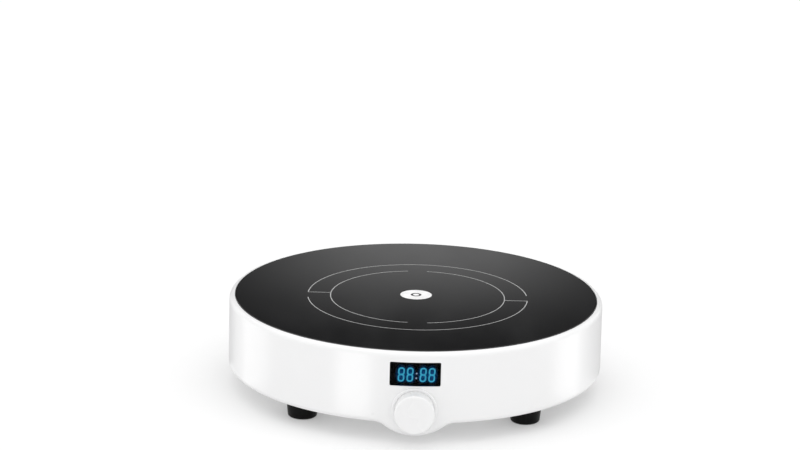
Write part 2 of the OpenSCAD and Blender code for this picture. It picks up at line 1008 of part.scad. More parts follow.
module encoder_body() {
    color("seagreen")
        placed()
            difference() {
                block(0, (encoder_seat_y + board_front_y) / 2, knob_z - encoder_w / 2,
                    [encoder_w, board_front_y - encoder_seat_y, encoder_w]);
                facing_front(0, switch_y(), knob_z)
                    cylinder(r = rotor_r + seat_gap, h = switch_y() - encoder_seat_y - encoder_front_t);
                facing_front(0, board_front_y - 3, knob_z)
                    cylinder(d = shaft_d + 1, h = board_setback);
            }
}

module encoder_bushing() {
    color(brass)
        placed()
            facing_front(0, encoder_seat_y, knob_z)
                ring(bushing_d / 2, shaft_d / 2 + shaft_gap, bushing_l);
}

module encoder_washer() {
    color(steel)
        placed()
            facing_front(0, recess_y, knob_z)
                ring(nut_w / 2 + 1, bushing_d / 2 + 0.05, washer_t);
}

module encoder_nut() {
    color(steel)
        placed()
            facing_front(0, recess_y - washer_t, knob_z)
                difference() {
                    cylinder(d = nut_w / cos(30), h = nut_t, $fn = 6);
                    translate([0, 0, -1])
                        cylinder(d = bushing_d + 0.06, h = nut_t + 2);
                }
}

module encoder_dome() {
    color(steel)
        placed()
            facing_front(0, switch_y(), knob_z)
                cylinder(d = dome_d, h = press_gap / 4);
}

// ---- Control board and display ----

module control_board() {
    color(board_green)
        placed()
            difference() {
                block(0, (board_front_y + board_rear_y) / 2, control_z, [control_w, board_t, control_h]);
                for (x = [-control_hole_x, control_hole_x], z = control_hole_heights())
                    facing_front(x, board_rear_y + 1, z)
                        cylinder(d = screw_d + 2 * screw_gap, h = board_t + 2);
            }
}

module control_screws() {
    color(steel)
        placed()
            for (x = [-control_hole_x, control_hole_x], z = control_hole_heights())
                translate([x, board_rear_y, z])
                    rotate([-90, 0, 0])
                        screw(screw_l);
}

// Flat packages, a crystal and the ribbon's socket on the back of the board
module control_chips() {
    color(black)
        placed() {
            for (c = control_parts)
                block(c[0], board_rear_y + c[3] / 2, control_z + c[1], [c[2], c[3], c[4]]);
            block(ribbon_x, board_rear_y + socket_l / 2, control_z + ribbon_rise,
                [socket_w, socket_l, socket_h]);
        }
}

module led_display() {
    color([0.12, 0.12, 0.13])
        placed()
            block(0, board_front_y - module_depth / 2, window_z - module_h / 2,
                [module_w, module_depth, module_h]);
}

// Four seven-segment digits and a colon on the front of the module
module led_segments() {
    color([0.25, 0.75, 0.95])
        placed()
            facing_front(0, board_front_y - module_depth, window_z)
                linear_extrude(0.2) {
                    for (side = [-1, 1], i = [0, 1])
                        translate([side * (pair_pitch / 2 + i * digit_pitch), 0])
                            slanted()
                                digit_segments();
                    for (side = [-1, 1])
                        translate([0, side * colon_pitch / 2 - colon_drop])
                            circle(d = colon_d);
                }
}

module slanted() {
    multmatrix([[1, tan(digit_slant), 0, 0], [0, 1, 0, 0], [0, 0, 1, 0], [0, 0, 0, 1]])
        children();
}

module digit_segments() {
    column_x = (digit_w - segment_w) / 2;
    row_y = (digit_h - segment_w) / 2;
    for (y = [-1, 0, 1])
        translate([0, y * row_y])
            segment(2 * column_x - 0.3);
    for (x = [-1, 1], y = [-1, 1])
        translate([x * column_x, y * row_y / 2])
            rotate(90)
                segment(row_y - 0.3);
}

// One bar with pointed ends
module segment(length) {
    half = segment_w / 2;
    polygon([
        [-length / 2, 0],
        [-length / 2 + half, half],
        [length / 2 - half, half],
        [length / 2, 0],
        [length / 2 - half, -half],
        [-length / 2 + half, -half]
    ]);
}

module buzzer() {
    color(black)
        placed()
            translate([buzzer_x, board_rear_y, control_z + buzzer_rise])
                rotate([-90, 0, 0])
                    difference() {
                        cylinder(d = buzzer_d, h = buzzer_t);
                        translate([0, 0, buzzer_t - 1])
                            cylinder(d = 2.5, h = 2);
                    }
}

// Flat cable from the control board down to the main board
module ribbon_cable() {
    start = [board_rear_y + socket_l, control_z + ribbon_rise + socket_h / 2];
    end = [main_y0 + socket_inset - socket_l / 2, main_top_z + socket_h - 1];
    top = [
        start,
        start + [socket_l, 0],
        start + [socket_l + ribbon_bend, -2 * ribbon_t],
        end + [-ribbon_bend, ribbon_t],
        end
    ];
    bottom = [for (i = [len(top) - 1 : -1 : 0]) top[i] - [0, ribbon_t]];
    color("lightgray")
        placed()
            translate([ribbon_x - ribbon_w / 2, 0, 0])
                rotate([90, 0, 90])
                    linear_extrude(ribbon_w)
                        polygon(concat(top, bottom));
}

// ---- Main board ----

module main_board() {
    color(board_green)
        placed()
            difference() {
                intersection() {
                    translate([main_x0, main_y0, main_z])
                        cube([main_w, main_l, board_t]);
                    cylinder(r = inner_r - board_edge_gap, h = rim_z);
                }
                for (p = main_hole_places())
                    translate(p)
                        cylinder(d = screw_d + 2 * screw_gap, h = rim_z);
                for (x = heatsink_leg_places())
                    translate([x, heatsink_y, 0])
                        cylinder(d = screw_d + 2 * screw_gap, h = rim_z);
                rotate(coil_post_angles[2])
                    translate([coil_post_r, 0, 0])
                        cylinder(d = post_d + 3, h = rim_z);
                for (p = foot_places())
                    translate(p)
                        cylinder(d = post_d + 3, h = rim_z);
            }
}

module board_screws() {
    color(steel)
        placed()
            for (p = main_hole_places())
                translate(p + [0, 0, main_top_z])
                    screw(screw_l);
}

function heatsink_leg_places() =
    [for (side = [-1, 1]) heatsink_x + side * (heatsink_w - heatsink_leg_w) / 2];

// Finned block on two legs, with the power devices under its plate
module heatsink() {
    first_x = heatsink_x - (heatsink_w - heatsink_fin_t) / 2;
    fin_pitch = (heatsink_w - heatsink_fin_t) / (heatsink_fins - 1);
    fin_z = plate_z + heatsink_plate_t - join;
    leg_h = plate_z + join - main_top_z;
    color(steel)
        placed()
            difference() {
                union() {
                    block(heatsink_x, heatsink_y, plate_z, [heatsink_w, heatsink_l, heatsink_plate_t]);
                    for (i = [0 : heatsink_fins - 1])
                        block(first_x + i * fin_pitch, heatsink_y, fin_z,
                            [heatsink_fin_t, heatsink_l, main_top_z + heatsink_h - fin_z]);
                    for (x = heatsink_leg_places())
                        block(x, heatsink_y, main_top_z, [heatsink_leg_w, heatsink_l, leg_h]);
                }
                for (x = heatsink_leg_places())
                    translate([x, heatsink_y, main_top_z - 1])
                        cylinder(d = screw_d + 2 * screw_gap, h = screw_l);
            }
}

module heatsink_screws() {
    color(steel)
        placed()
            for (x = heatsink_leg_places())
                translate([x, heatsink_y, main_z])
                    rotate([180, 0, 0])
                        screw(screw_l);
}

// A flat power device lying under the heatsink's plate, on its bent legs
module power_device(x, y, w, l, legs) {
    leg_pitch = w / (legs + 1);
    block(x, y, main_top_z + device_rise, [w, l, device_t]);
    for (i = [1 : legs])
        block(x - w / 2 + i * leg_pitch, y - l / 2 + 1, main_top_z, [1.2, 0.8, device_rise + join]);
}

module igbt() {
    color(black)
        placed()
            power_device(heatsink_x - 13, heatsink_y, 16, 21, 3);
}

module bridge_rectifier() {
    color(black)
        placed()
            power_device(heatsink_x + 11, heatsink_y, 22, 20, 4);
}

// Resonant, smoothing and mains filter capacitors
module film_capacitors() {
    color("goldenrod")
        placed() {
            for (c = film_capacitor_blocks)
                block(c[0], c[1], main_top_z, [c[2], c[3], c[4]]);
        }
}

module choke_core() {
    color("yellowgreen")
        placed()
            translate([choke_x, choke_y, main_top_z + choke_wire_t])
                ring(choke_core_r, choke_core_hole_r, choke_core_t);
}

// Turns around the toroid, each a closed loop of wire
module choke_winding() {
    color(copper)
        placed()
            for (a = [0 : 30 : 330])
                translate([choke_x, choke_y, main_top_z])
                    rotate(a)
                        choke_turn();
}

module choke_turn() {
    mid_r = (choke_core_r + choke_core_hole_r) / 2;
    across = choke_core_r - choke_core_hole_r;
    difference() {
        block(mid_r, 0, 0, [across + 2 * choke_wire_t, 2, choke_core_t + 2 * choke_wire_t]);
        block(mid_r, 0, choke_wire_t - 0.1, [across + 0.4, 3, choke_core_t + 0.2]);
        translate([0, 0, choke_wire_t - 0.05])
            ring(choke_core_r + 0.05, choke_core_hole_r - 0.05, choke_core_t + 0.1);
    }
}

// Glass fuse in two clips
module fuse() {
    color("gainsboro")
        placed() {
            translate([fuse_x - fuse_l / 2, fuse_y, main_top_z + fuse_rise])
                rotate([0, 90, 0])
                    cylinder(d = fuse_d, h = fuse_l);
            for (side = [-1, 1])
                block(fuse_x + side * (fuse_l / 2 - 2), fuse_y, main_top_z, [2, fuse_d + 1.5, fuse_rise]);
        }
}

// Round disc on two wires
module varistor() {
    color("royalblue")
        placed() {
            translate([varistor_x, varistor_y, main_top_z + varistor_d / 2 + 2])
                rotate([90, 0, 0])
                    cylinder(d = varistor_d, h = varistor_t, center = true);
            for (side = [-1, 1])
                block(varistor_x + side * 3, varistor_y, main_top_z, [0.8, 0.8, varistor_d / 2 - 1]);
        }
}

module electrolytic_capacitors() {
    color([0.15, 0.17, 0.25])
        placed() {
            for (c = electrolytic_cans)
                translate([c[0], c[1], main_top_z])
                    cylinder(d = c[2], h = c[3]);
        }
}

// A bobbin between two flanges
module transformer() {
    flange = [transformer_w, transformer_l, transformer_flange_t];
    bobbin_h = transformer_h - 2 * transformer_flange_t + 2 * join;
    color("khaki")
        placed()
            translate([transformer_x, transformer_y, main_top_z]) {
                block(0, 0, 0, flange);
                block(0, 0, transformer_flange_t - join, [transformer_w - 6, transformer_l - 7, bobbin_h]);
                block(0, 0, transformer_h - transformer_flange_t, flange);
            }
}

// A block with the hole that the measured wire runs through
module current_transformer() {
    color("dodgerblue")
        placed()
            translate([sense_x, sense_y, main_top_z])
                difference() {
                    block(0, 0, 0, [sense_w, sense_l, sense_w]);
                    translate([0, sense_l, sense_w / 2 + 2])
                        rotate([90, 0, 0])
                            cylinder(d = sense_hole_d, h = 2 * sense_l);
                }
}

// Brass blocks that the coil's two ends drop into
module coil_terminals() {
    color(brass)
        placed()
            for (p = coil_end_places())
                block(p[0], p[1], main_top_z, [terminal_w, terminal_w, terminal_h]);
}

function coil_end_places() = [[coil_inner_r, -coil_elbow_r], [coil_end_x, coil_elbow_r]];

// Sockets for the mains wires, the fan, the sensor and the ribbon
module board_connectors() {
    color("ivory")
        placed() {
            block(mains_socket_x, mains_socket_y, main_top_z, mains_socket);
            block(main_x0 + fan_socket[0] / 2 + 1, fan_cable_y, main_top_z, fan_socket);
            block(0, 0, main_top_z, sensor_socket);
            block(ribbon_x, main_y0 + socket_inset, main_top_z, [socket_w, socket_l, socket_h]);
        }
}

// ---- Fan ----

module fan_frame() {
    color(black)
        placed()
            translate([fan_x, fan_y, fan_z]) {
                difference() {
                    linear_extrude(fan_h)
                        rounded_rectangle(fan_w, fan_w, 4);
                    translate([0, 0, -1])
                        cylinder(r = fan_bore_r, h = fan_h + 2);
                    for (x = [-1, 1], y = [-1, 1])
                        translate([x * fan_hole_pitch / 2, y * fan_hole_pitch / 2, -1])
                            cylinder(d = screw_d + 2 * screw_gap, h = fan_h + 2);
                }
                difference() {
                    union() {
                        cylinder(r = fan_hub_r - 1, h = fan_spider_t);
                        cylinder(r = fan_tube_r, h = fan_tube_h);
                        for (a = [30, 150, 270])
                            rotate(a)
                                translate([fan_tube_r, -fan_arm_w / 2, 0])
                                    cube([fan_bore_r - fan_tube_r + join, fan_arm_w, fan_spider_t]);
                    }
                    translate([0, 0, 1])
                        cylinder(r = fan_bearing_r, h = fan_h);
                }
            }
}

module fan_bearing() {
    color(brass)
        placed()
            translate([fan_x, fan_y, fan_z + 1])
                ring(fan_bearing_r, fan_shaft_d / 2 + fan_bearing_gap, fan_tube_h - 1);
}

// Six-pole stator on the bearing's tube
module fan_stator() {
    color(copper)
        placed()
            translate([fan_x, fan_y, fan_z + 2 * fan_spider_t])
                difference() {
                    union() {
                        cylinder(r = stator_core_r, h = stator_h);
                        for (a = [0 : 60 : 300])
                            rotate(a)
                                block(stator_core_r + 1, 0, 1, [pole_l, pole_w, stator_h - 2]);
                    }
                    translate([0, 0, -1])
                        cylinder(r = fan_tube_r + 0.02, h = fan_h);
                }
}

module fan_rotor() {
    blade_r = fan_bore_r - fan_tip_gap;
    hub_z = fan_spider_t + 1;
    hub_h = fan_h - hub_z - 1;
    color([0.10, 0.10, 0.11])
        placed()
            translate([fan_x, fan_y, fan_z]) {
                difference() {
                    translate([0, 0, hub_z])
                        cylinder(r = fan_hub_r, h = hub_h);
                    translate([0, 0, hub_z - 1])
                        cylinder(r = fan_hub_r - 1.5, h = hub_h - 0.5);
                }
                translate([0, 0, 1 + seat_gap])
                    cylinder(d = fan_shaft_d, h = fan_h - 3);
                for (i = [0 : fan_blades - 1])
                    rotate(i * 360 / fan_blades)
                        fan_blade(blade_r, hub_z, hub_h);
            }
}

// A flat blade, tilted about its own radius and trimmed to the hub and the bore
module fan_blade(tip_r, z, h) {
    intersection() {
        translate([0, 0, z + h / 2])
            rotate([fan_tilt, 0, 0])
                block(tip_r, 0, -fan_blade_t / 2, [2 * tip_r, 3 * h, fan_blade_t]);
        translate([0, 0, z + 0.5])
            ring(tip_r, fan_hub_r - 0.7, h - 1);
    }
}

module fan_screws() {
    color(steel)
        placed()
            for (p = fan_hole_places())
                translate(p + [0, 0, fan_z + fan_h])
                    screw(fan_h + 1.5);
}

// Two wires from the fan's side to their socket
module fan_cable() {
    start_x = fan_x + fan_w / 2;
    end_x = main_x0 + 1;
    color("firebrick")
        placed()
            for (side = [-1, 1])
                translate([start_x, fan_cable_y + side * lead_pitch / 2, main_top_z + fan_socket[2] / 2])
                    rotate([0, 90, 0])
                        cylinder(d = 1.5, h = end_x - start_x);
}

// ---- Coil ----

module coil_former() {
    hub_r = coil_inner_r - wire_d / 2 - 1;
    color("ivory")
        placed()
            difference() {
                union() {
                    translate([0, 0, former_z])
                        linear_extrude(former_t)
                            former_outline();
                    translate([0, 0, former_z])
                        ring(former_r, former_r - former_rim_t, former_t + wire_d);
                    translate([0, 0, former_z])
                        ring(hub_r, hub_r - former_hub_t, former_t + wire_d);
                    for (a = ferrite_angles())
                        rotate(a)
                            ferrite_cradle();
                }
                translate([0, 0, former_z - 1])
                    cylinder(d = sensor_holder_d + 2 * seat_gap, h = former_t + 2);
                for (a = coil_post_angles)
                    rotate(a)
                        translate([coil_post_r, 0, former_z - 1])
                            cylinder(d = screw_d + 2 * screw_gap, h = former_t + 2);
                for (p = coil_end_places())
                    block(p[0], p[1] / 2, former_z - 1,
                        [wire_d + 1, wire_d + coil_elbow_r + 1, former_t + 2]);
            }
}

// Round plate with an ear over each of the coil's posts
module former_outline() {
    circle(former_r);
    for (a = coil_post_angles)
        rotate(a)
            translate([former_r - 2, -post_d / 2])
                square([coil_post_r - former_r + post_d / 2 + 2, post_d]);
}

function ferrite_angles() = [for (i = [0 : 7]) 22.5 + 45 * i];

// Two ribs under the plate that hold a ferrite bar between them
module ferrite_cradle() {
    rib_y = (ferrite_w + cradle_rib_t) / 2 + seat_gap;
    for (side = [-1, 1])
        block(ferrite_mid_r, side * rib_y, ferrite_z + 1,
            [ferrite_l - 8, cradle_rib_t, ferrite_t - 1 + join]);
}

module ferrite_bars() {
    color([0.22, 0.22, 0.23])
        placed()
            for (a = ferrite_angles())
                rotate(a)
                    block(ferrite_mid_r, 0, ferrite_z, [ferrite_l, ferrite_w, ferrite_t]);
}

// One flat spiral of wire: half turns about two centres, half a pitch apart,
// with both ends bent down to their terminals
module coil_winding() {
    mid_z = coil_z + wire_d / 2;
    color(copper)
        placed() {
            translate([0, 0, mid_z]) {
                for (i = [0 : coil_turns - 1]) {
                    half_turn(coil_inner_r + i * wire_pitch, 0, 0);
                    half_turn(coil_inner_r + (i + 0.5) * wire_pitch, wire_pitch / 2, 180);
                }
            }
            for (end = [[coil_inner_r, -1], [coil_end_x, 1]])
                translate([end[0], 0, mid_z])
                    coil_end(end[1], mid_z);
        }
}

module half_turn(r, x, start) {
    translate([x, 0, 0])
        rotate(start)
            rotate_extrude(angle = 180)
                translate([r, 0])
                    circle(d = wire_d);
}

// Bends from the level of the spiral down to the terminal's top
module coil_end(side, z) {
    drop = z - coil_elbow_r - main_top_z - terminal_h;
    translate([0, 0, -coil_elbow_r])
        rotate([90, 0, 90])
            rotate(side > 0 ? 0 : 90)
                rotate_extrude(angle = 90)
                    translate([coil_elbow_r, 0])
                        circle(d = wire_d);
    translate([0, side * coil_elbow_r, -coil_elbow_r - drop])
        cylinder(d = wire_d, h = drop);
}

module insulation_sheet() {
    color("whitesmoke")
        placed()
            translate([0, 0, sheet_z])
                ring(former_r, sensor_holder_d / 2 + 0.5, sheet_t);
}

module coil_screws() {
    color(steel)
        placed()
            for (a = coil_post_angles)
                rotate(a)
                    translate([coil_post_r, 0, former_z + former_t])
                        screw(screw_l);
}

// Silicone cup that presses the sensor against the glass
module thermistor_holder() {
    color("lightgray")
        placed()
            difference() {
                union() {
                    translate([0, 0, former_z - 2])
                        cylinder(d = sensor_holder_d + 6, h = 2);
                    translate([0, 0, former_z - 2])
                        cylinder(d = sensor_holder_d, h = glass_z - former_z + 2);
                }
                translate([0, 0, glass_z - sensor_t])
                    cylinder(d = sensor_d + 2 * seat_gap, h = sensor_t + 1);
                translate([0, 0, former_z - 3])
                    cylinder(d = sensor_d - 1, h = glass_z - sensor_t - former_z + 3 + join);
            }
}

module thermistor() {
    color("sienna")
        placed()
            translate([0, 0, glass_z - sensor_t])
                cylinder(d = sensor_d, h = sensor_t);
}

module thermistor_leads() {
    socket_z = main_top_z + sensor_socket[2];
    color("whitesmoke")
        placed()
            for (side = [-1, 1])
                translate([side * lead_pitch / 2, 0, socket_z])
                    cylinder(d = 1.2, h = glass_z - sensor_t - socket_z);
}

// ---- Build ----

upper_housing();
base_pan();
glass_plate();
glass_seal();
display_window();
cord_gland();
foot(-1, -1);  // foot_front_left
foot(1, -1);  // foot_front_right
foot(-1, 1);  // foot_rear_left
foot(1, 1);  // foot_rear_right
foot_screws();
housing_screws();
knob();
knob_clip();
encoder_shaft();
encoder_rotor();
encoder_body();
encoder_bushing();
encoder_washer();
encoder_nut();
encoder_dome();
control_board();
control_chips();
control_screws();
led_display();
led_segments();
buzzer();
ribbon_cable();
main_board();
board_screws();
heatsink();
heatsink_screws();
igbt();
bridge_rectifier();
film_capacitors();
choke_core();
choke_winding();
fuse();
varistor();
electrolytic_capacitors();
transformer();
current_transformer();
coil_terminals();
board_connectors();
fan_frame();
fan_bearing();
fan_stator();
fan_rotor();
fan_screws();
fan_cable();
coil_former();
coil_winding();
ferrite_bars();
insulation_sheet();
coil_screws();
thermistor();
thermistor_holder();
thermistor_leads();
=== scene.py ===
"""Round induction cooktop: smooth outer pieces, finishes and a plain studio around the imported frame."""
from math import asin, cos, degrees, pi, radians, sin, sqrt, tan

import bmesh
import bpy
from bpy.props import FloatProperty, FloatVectorProperty, IntProperty, PointerProperty
from bpy.types import Operator, Panel, PropertyGroup
from mathutils import Matrix, Vector


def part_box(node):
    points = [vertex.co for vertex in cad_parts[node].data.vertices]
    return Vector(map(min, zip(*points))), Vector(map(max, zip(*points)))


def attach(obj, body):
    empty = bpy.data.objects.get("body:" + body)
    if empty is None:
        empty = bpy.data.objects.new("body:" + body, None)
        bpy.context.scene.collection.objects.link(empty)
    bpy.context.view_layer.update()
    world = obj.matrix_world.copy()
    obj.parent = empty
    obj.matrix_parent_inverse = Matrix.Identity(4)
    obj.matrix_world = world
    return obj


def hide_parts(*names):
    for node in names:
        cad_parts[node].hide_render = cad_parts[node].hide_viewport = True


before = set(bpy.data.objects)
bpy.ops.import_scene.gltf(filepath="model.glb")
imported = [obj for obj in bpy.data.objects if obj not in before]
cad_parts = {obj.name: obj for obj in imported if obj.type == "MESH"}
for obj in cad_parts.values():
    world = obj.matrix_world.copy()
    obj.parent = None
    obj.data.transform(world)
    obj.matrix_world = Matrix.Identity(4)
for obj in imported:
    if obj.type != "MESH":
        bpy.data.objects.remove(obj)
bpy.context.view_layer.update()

bl_info = {
    "name": "Induction Cooktop",
    "version": (1, 0, 0),
    "blender": (4, 5, 0),
    "location": "3D Viewport > Sidebar > Cooktop",
    "description": "Models and finishes a round portable induction cooktop",
    "category": "Object",
}

MM = 0.001

HOUSING_LOW, HOUSING_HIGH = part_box("upper_housing")
GLASS_LOW, GLASS_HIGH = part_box("glass_plate")
KNOB_LOW, KNOB_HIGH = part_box("knob")
LENS_LOW, LENS_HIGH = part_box("display_window")
DIGITS_LOW, DIGITS_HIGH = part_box("led_segments")
GLAND_LOW, GLAND_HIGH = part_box("cord_gland")
BASE_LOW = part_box("base_pan")[0]

# The drum stays a hair inside the solids' box, and its axis stands a little behind the origin
DRUM_RADIUS = -HOUSING_LOW.x - 0.01 * MM
DRUM_Y = GLASS_HIGH.y - GLASS_HIGH.x
PAN_RISE = 0.5 * MM
DRUM_BOTTOM = BASE_LOW.z - PAN_RISE
DRUM_TOP = HOUSING_HIGH.z
CHIN_LOW = HOUSING_LOW.z + 0.04 * MM
KNOB_Z = (KNOB_LOW.z + KNOB_HIGH.z) / 2
LENS_Z = (LENS_LOW.z + LENS_HIGH.z) / 2
GLAND_Z = (GLAND_LOW.z + GLAND_HIGH.z) / 2

# Upright panels around the drum, lower than the glass
PANEL_HEIGHT = DRUM_TOP - 2 * MM
PANEL_REACH = 50 * MM

# Steps around a full turn, and in a rounded edge
WALL_STEPS, GLASS_STEPS, KNOB_STEPS, RING_STEPS = 720, 360, 256, 192
SMALL_STEPS, HOLE_STEPS, DOT_STEPS, COLON_STEPS = 128, 96, 64, 32
EDGE_STEPS = 6
SHARP_ANGLE = radians(24)
# Flat faces keep a narrow ring of their own beside a rounding, so that their shading stays flat
FLAT_MARGIN = 0.3 * MM
WELD, FINE_WELD = 1e-6, 1e-7

FACING_FRONT = Matrix.Rotation(pi / 2, 4, "X")
# Emission strength of the lit digits, and of the painted glow on the module's face around them
GLOW_STRENGTH = 8.5
PRINT_WHITE = (0.86, 0.86, 0.86)
STEEL = (0.62, 0.62, 0.60)
BRASS = (0.78, 0.58, 0.26)


# ---- Settings ----

def length(name, text, default):
    """A length setting, with its default in millimetres."""
    return FloatProperty(name=name, description=text, default=default * MM, min=0.0, subtype="DISTANCE",
                         unit="LENGTH", precision=5)


def angle(name, text, default):
    """An angle setting, with its default in radians."""
    return FloatProperty(name=name, description=text, default=default, subtype="ANGLE")


def colour(name, text, default):
    """A colour setting, in linear values."""
    return FloatVectorProperty(name=name, description=text, default=default, min=0.0, max=1.0,
                               size=3, subtype="COLOR")


class HousingSettings(PropertyGroup):
    wall: length("Wall", "Thickness of the moulded wall", 2.5)
    shoulder: length("Shoulder", "Radius of the rounded shoulder under the glass", 4)
    lower_edge: length("Lower Edge", "Radius of the wall's lower edge", 4)
    lip: length("Lip", "Width of the lip under the wall", 5)
    ledge_width: length("Ledge Width", "Width of the ledge that carries the glass", 8)
    ledge_depth: length("Ledge Depth", "Thickness of the ledge that carries the glass", 2.4)
    seat_depth: length("Seat Depth", "Depth of the glass seat below the rim", 4)
    seam: length("Seam", "Gap around the glass", 0.3)
    chin_radius: length("Chin Radius", "Radius of the chin's round bottom", 38)
    chin_fillet: length("Chin Fillet", "Radius where the chin runs out into the edge", 14)
    chin_depth: length("Chin Depth", "Depth of the chin from front to back", 26)
    ring_radius: length("Ring Radius", "Outer radius of the raised ring around the knob", 17.1)
    ring_height: length("Ring Height", "Height of the ring in front of the wall", 2.5)
    ring_gap: length("Ring Gap", "Gap between the knob and its ring", 0.1)
    window_width: length("Window Width", "Width of the display window", 38)
    window_height: length("Window Height", "Height of the display window", 18.5)
    window_corner: length("Window Corner", "Corner radius of the display window", 1)
    bushing_hole: length("Bushing Hole", "Radius of the hole behind the knob", 3.7)
    inlet: length("Inlet", "Radius of the cord's inlet", 8.6)
    slot_width: length("Slot Width", "Width of a cooling slot", 3)
    slot_height: length("Slot Height", "Height of a cooling slot", 22)
    slots: IntProperty(name="Slots", description="Cooling slots on each side of the inlet", default=5, min=1)
    first_slot: angle("First Slot", "Angle from the inlet to the first slot", radians(8))
    slot_step: angle("Slot Step", "Angle from one slot to the next", radians(3))
    tint: colour("Colour", "Colour of the white plastic", (0.83, 0.83, 0.832))


class GlassSettings(PropertyGroup):
    bevel: length("Bevel", "Width of the ground bevel", 0.7)
    print_height: length("Print Height", "Thickness of the printed marks", 0.02)
    line_width: length("Line Width", "Width of the printed lines", 0.75)
    outer_ring: length("Outer Ring", "Radius of the outer ring", 84.9)
    inner_ring: length("Inner Ring", "Radius of the inner ring", 67.3)
    ring_break: length("Ring Break", "Width of the breaks in the inner ring", 15)
    outer_break: length("Outer Break", "Distance of the outer ring's ends from the middle line", 8)
    link_offset: length("Link Offset", "Distance of the joining lines from the middle line", 5.2)
    ring_forward: length("Ring Forward", "Distance of the rings' centre in front of the glass's", 4.5)
    ring_right: length("Ring Right", "Distance of the rings' centre to the right of the glass's", 1.1)
    disc_radius: length("Disc Radius", "Radius of the white centre disc", 12.2)
    dot_radius: length("Dot Radius", "Radius of the dot in the centre disc", 2.4)
    dot_gap: length("Dot Gap", "Width of the bare glass around the dot", 1.8)
    tint: colour("Glass Colour", "Colour of the glass", (0.0055, 0.0055, 0.006))
    print_tint: colour("Print Colour", "Colour of the printed lines", (0.42, 0.42, 0.42))


class DisplaySettings(PropertyGroup):
    gap: length("Gap", "Gap between the lens and its window", 0.15)
    flange: length("Flange", "Width of the lens's flange behind the wall", 1.5)
    digit_width: length("Digit Width", "Width of a digit", 5.0)
    digit_height: length("Digit Height", "Height of a digit", 11.1)
    stroke: length("Stroke", "Width of a digit's strokes", 1.15)
    digit_corner: length("Digit Corner", "Radius of a digit's rounded corners", 2.2)
    digit_pitch: length("Digit Pitch", "Distance between the digits of a pair", 6.5)
    pair_pitch: length("Pair Pitch", "Distance between the digits beside the colon", 9.7)
    digit_shift: length("Digit Shift", "Shift of the digits to the right of the window's middle", 1.0)
    digit_drop: length("Digit Drop", "Drop of the digits below the window's middle", 1.7)
    colon_size: length("Colon Size", "Diameter of the colon's dots", 1.3)
    colon_pitch: length("Colon Pitch", "Distance between the colon's dots", 3.7)
    colon_drop: length("Colon Drop", "Drop of the colon below the digits' middle", 0.9)
    slant: angle("Slant", "Slant of the digits", radians(3))
    light: colour("Light", "Colour of the lit digits", (0.036, 0.32, 0.45))
    colon_light: colour("Colon Light", "Colour of the lit colon", (0.24, 0.32, 0.42))
    # The glow is painted light: emission on the module's face around each digit stands in for the digits'
    # light spilling onto it
    glow: colour("Glow", "Colour of the glow around the digits", (0.0, 0.052, 0.16))
    smoke: colour("Smoke", "Tint of the dark lens", (0.12, 0.12, 0.13))


class KnobSettings(PropertyGroup):
    rounding: length("Rounding", "Radius of the knob's front edge", 1.4)
    wall: length("Wall", "Thickness of the knob's wall", 2)
    socket: length("Socket", "Radius of the shaft's socket", 5)
    bore: length("Bore", "Radius of the socket's bore", 3.05)
    tint: colour("Colour", "Colour of the knob", (0.82, 0.82, 0.822))


class FootSettings(PropertyGroup):
    bottom_radius: length("Bottom Radius", "Radius of the foot's lower end", 11)
    rounding: length("Rounding", "Radius of the foot's lower edge", 2)
    recess_radius: length("Recess Radius", "Radius of the screw's recess", 3)
    recess_depth: length("Recess Depth", "Depth of the screw's recess", 10)
    hole_radius: length("Hole Radius", "Radius of the screw's hole", 1.6)


class GlandSettings(PropertyGroup):
    bore: length("Bore", "Radius of the cord's bore", 3.7)
    neck: length("Neck", "Radius of the neck in the wall", 8.5)
    lip: length("Lip", "Radius of the lip behind the wall", 10)
    flange: length("Flange", "Thickness of the outer flange", 2.8)


class StageSettings(PropertyGroup):
    floor: colour("Floor", "Colour of the floor", (0.645, 0.645, 0.645))
    glow: FloatProperty(name="Glow", description="Light that the floor gives itself", default=0.26, min=0.0)
    distance: length("Distance", "Distance of the camera from the glass", 3000.0)
    elevation: angle("Elevation", "Height angle of the camera", radians(17.225))
    bearing: angle("Bearing", "Turn of the camera around the object", radians(-0.37))
    pan: angle("Pan", "Turn of the camera to the left", 0.00462)
    tilt: angle("Tilt", "Turn of the camera upwards", 0.01788)
    roll: angle("Roll", "Turn of the camera about its own axis", radians(1.477))
    lens: FloatProperty(name="Lens", description="Focal length in millimetres", default=174.15, min=10.0)


# ---- Meshes ----

def new_object(name, data):
    """A new object in the scene."""
    piece = bpy.data.objects.new(name, data)
    bpy.context.scene.collection.objects.link(piece)
    return piece


def mesh_of(name, bm):
    """Makes a mesh of a bmesh and frees it."""
    mesh = bpy.data.meshes.new(name)
    bm.to_mesh(mesh)
    bm.free()
    return mesh


def bmesh_of(mesh):
    bm = bmesh.new()
    bm.from_mesh(mesh)
    return bm


def add(bm, other):
    """Joins another bmesh into this one and frees it."""
    mesh = mesh_of("joined", other)
    bm.from_mesh(mesh)
    bpy.data.meshes.remove(mesh)


def place(bm, place_at, turn=None):
    """Turns a bmesh about the origin and moves it to its place in the frame."""
    matrix = Matrix.Translation(place_at) @ (turn or Matrix.Identity(4))
    bmesh.ops.transform(bm, matrix=matrix, verts=bm.verts)


def turn_about_z(bm, turn):
    bmesh.ops.rotate(bm, cent=(0, 0, 0), matrix=Matrix.Rotation(turn, 3, "Z"), verts=bm.verts)


def weld(bm, distance=WELD):
    """Merges points that coincide and turns all faces outwards."""
    bmesh.ops.remove_doubles(bm, verts=bm.verts, dist=distance)
    bmesh.ops.recalc_face_normals(bm, faces=bm.faces)


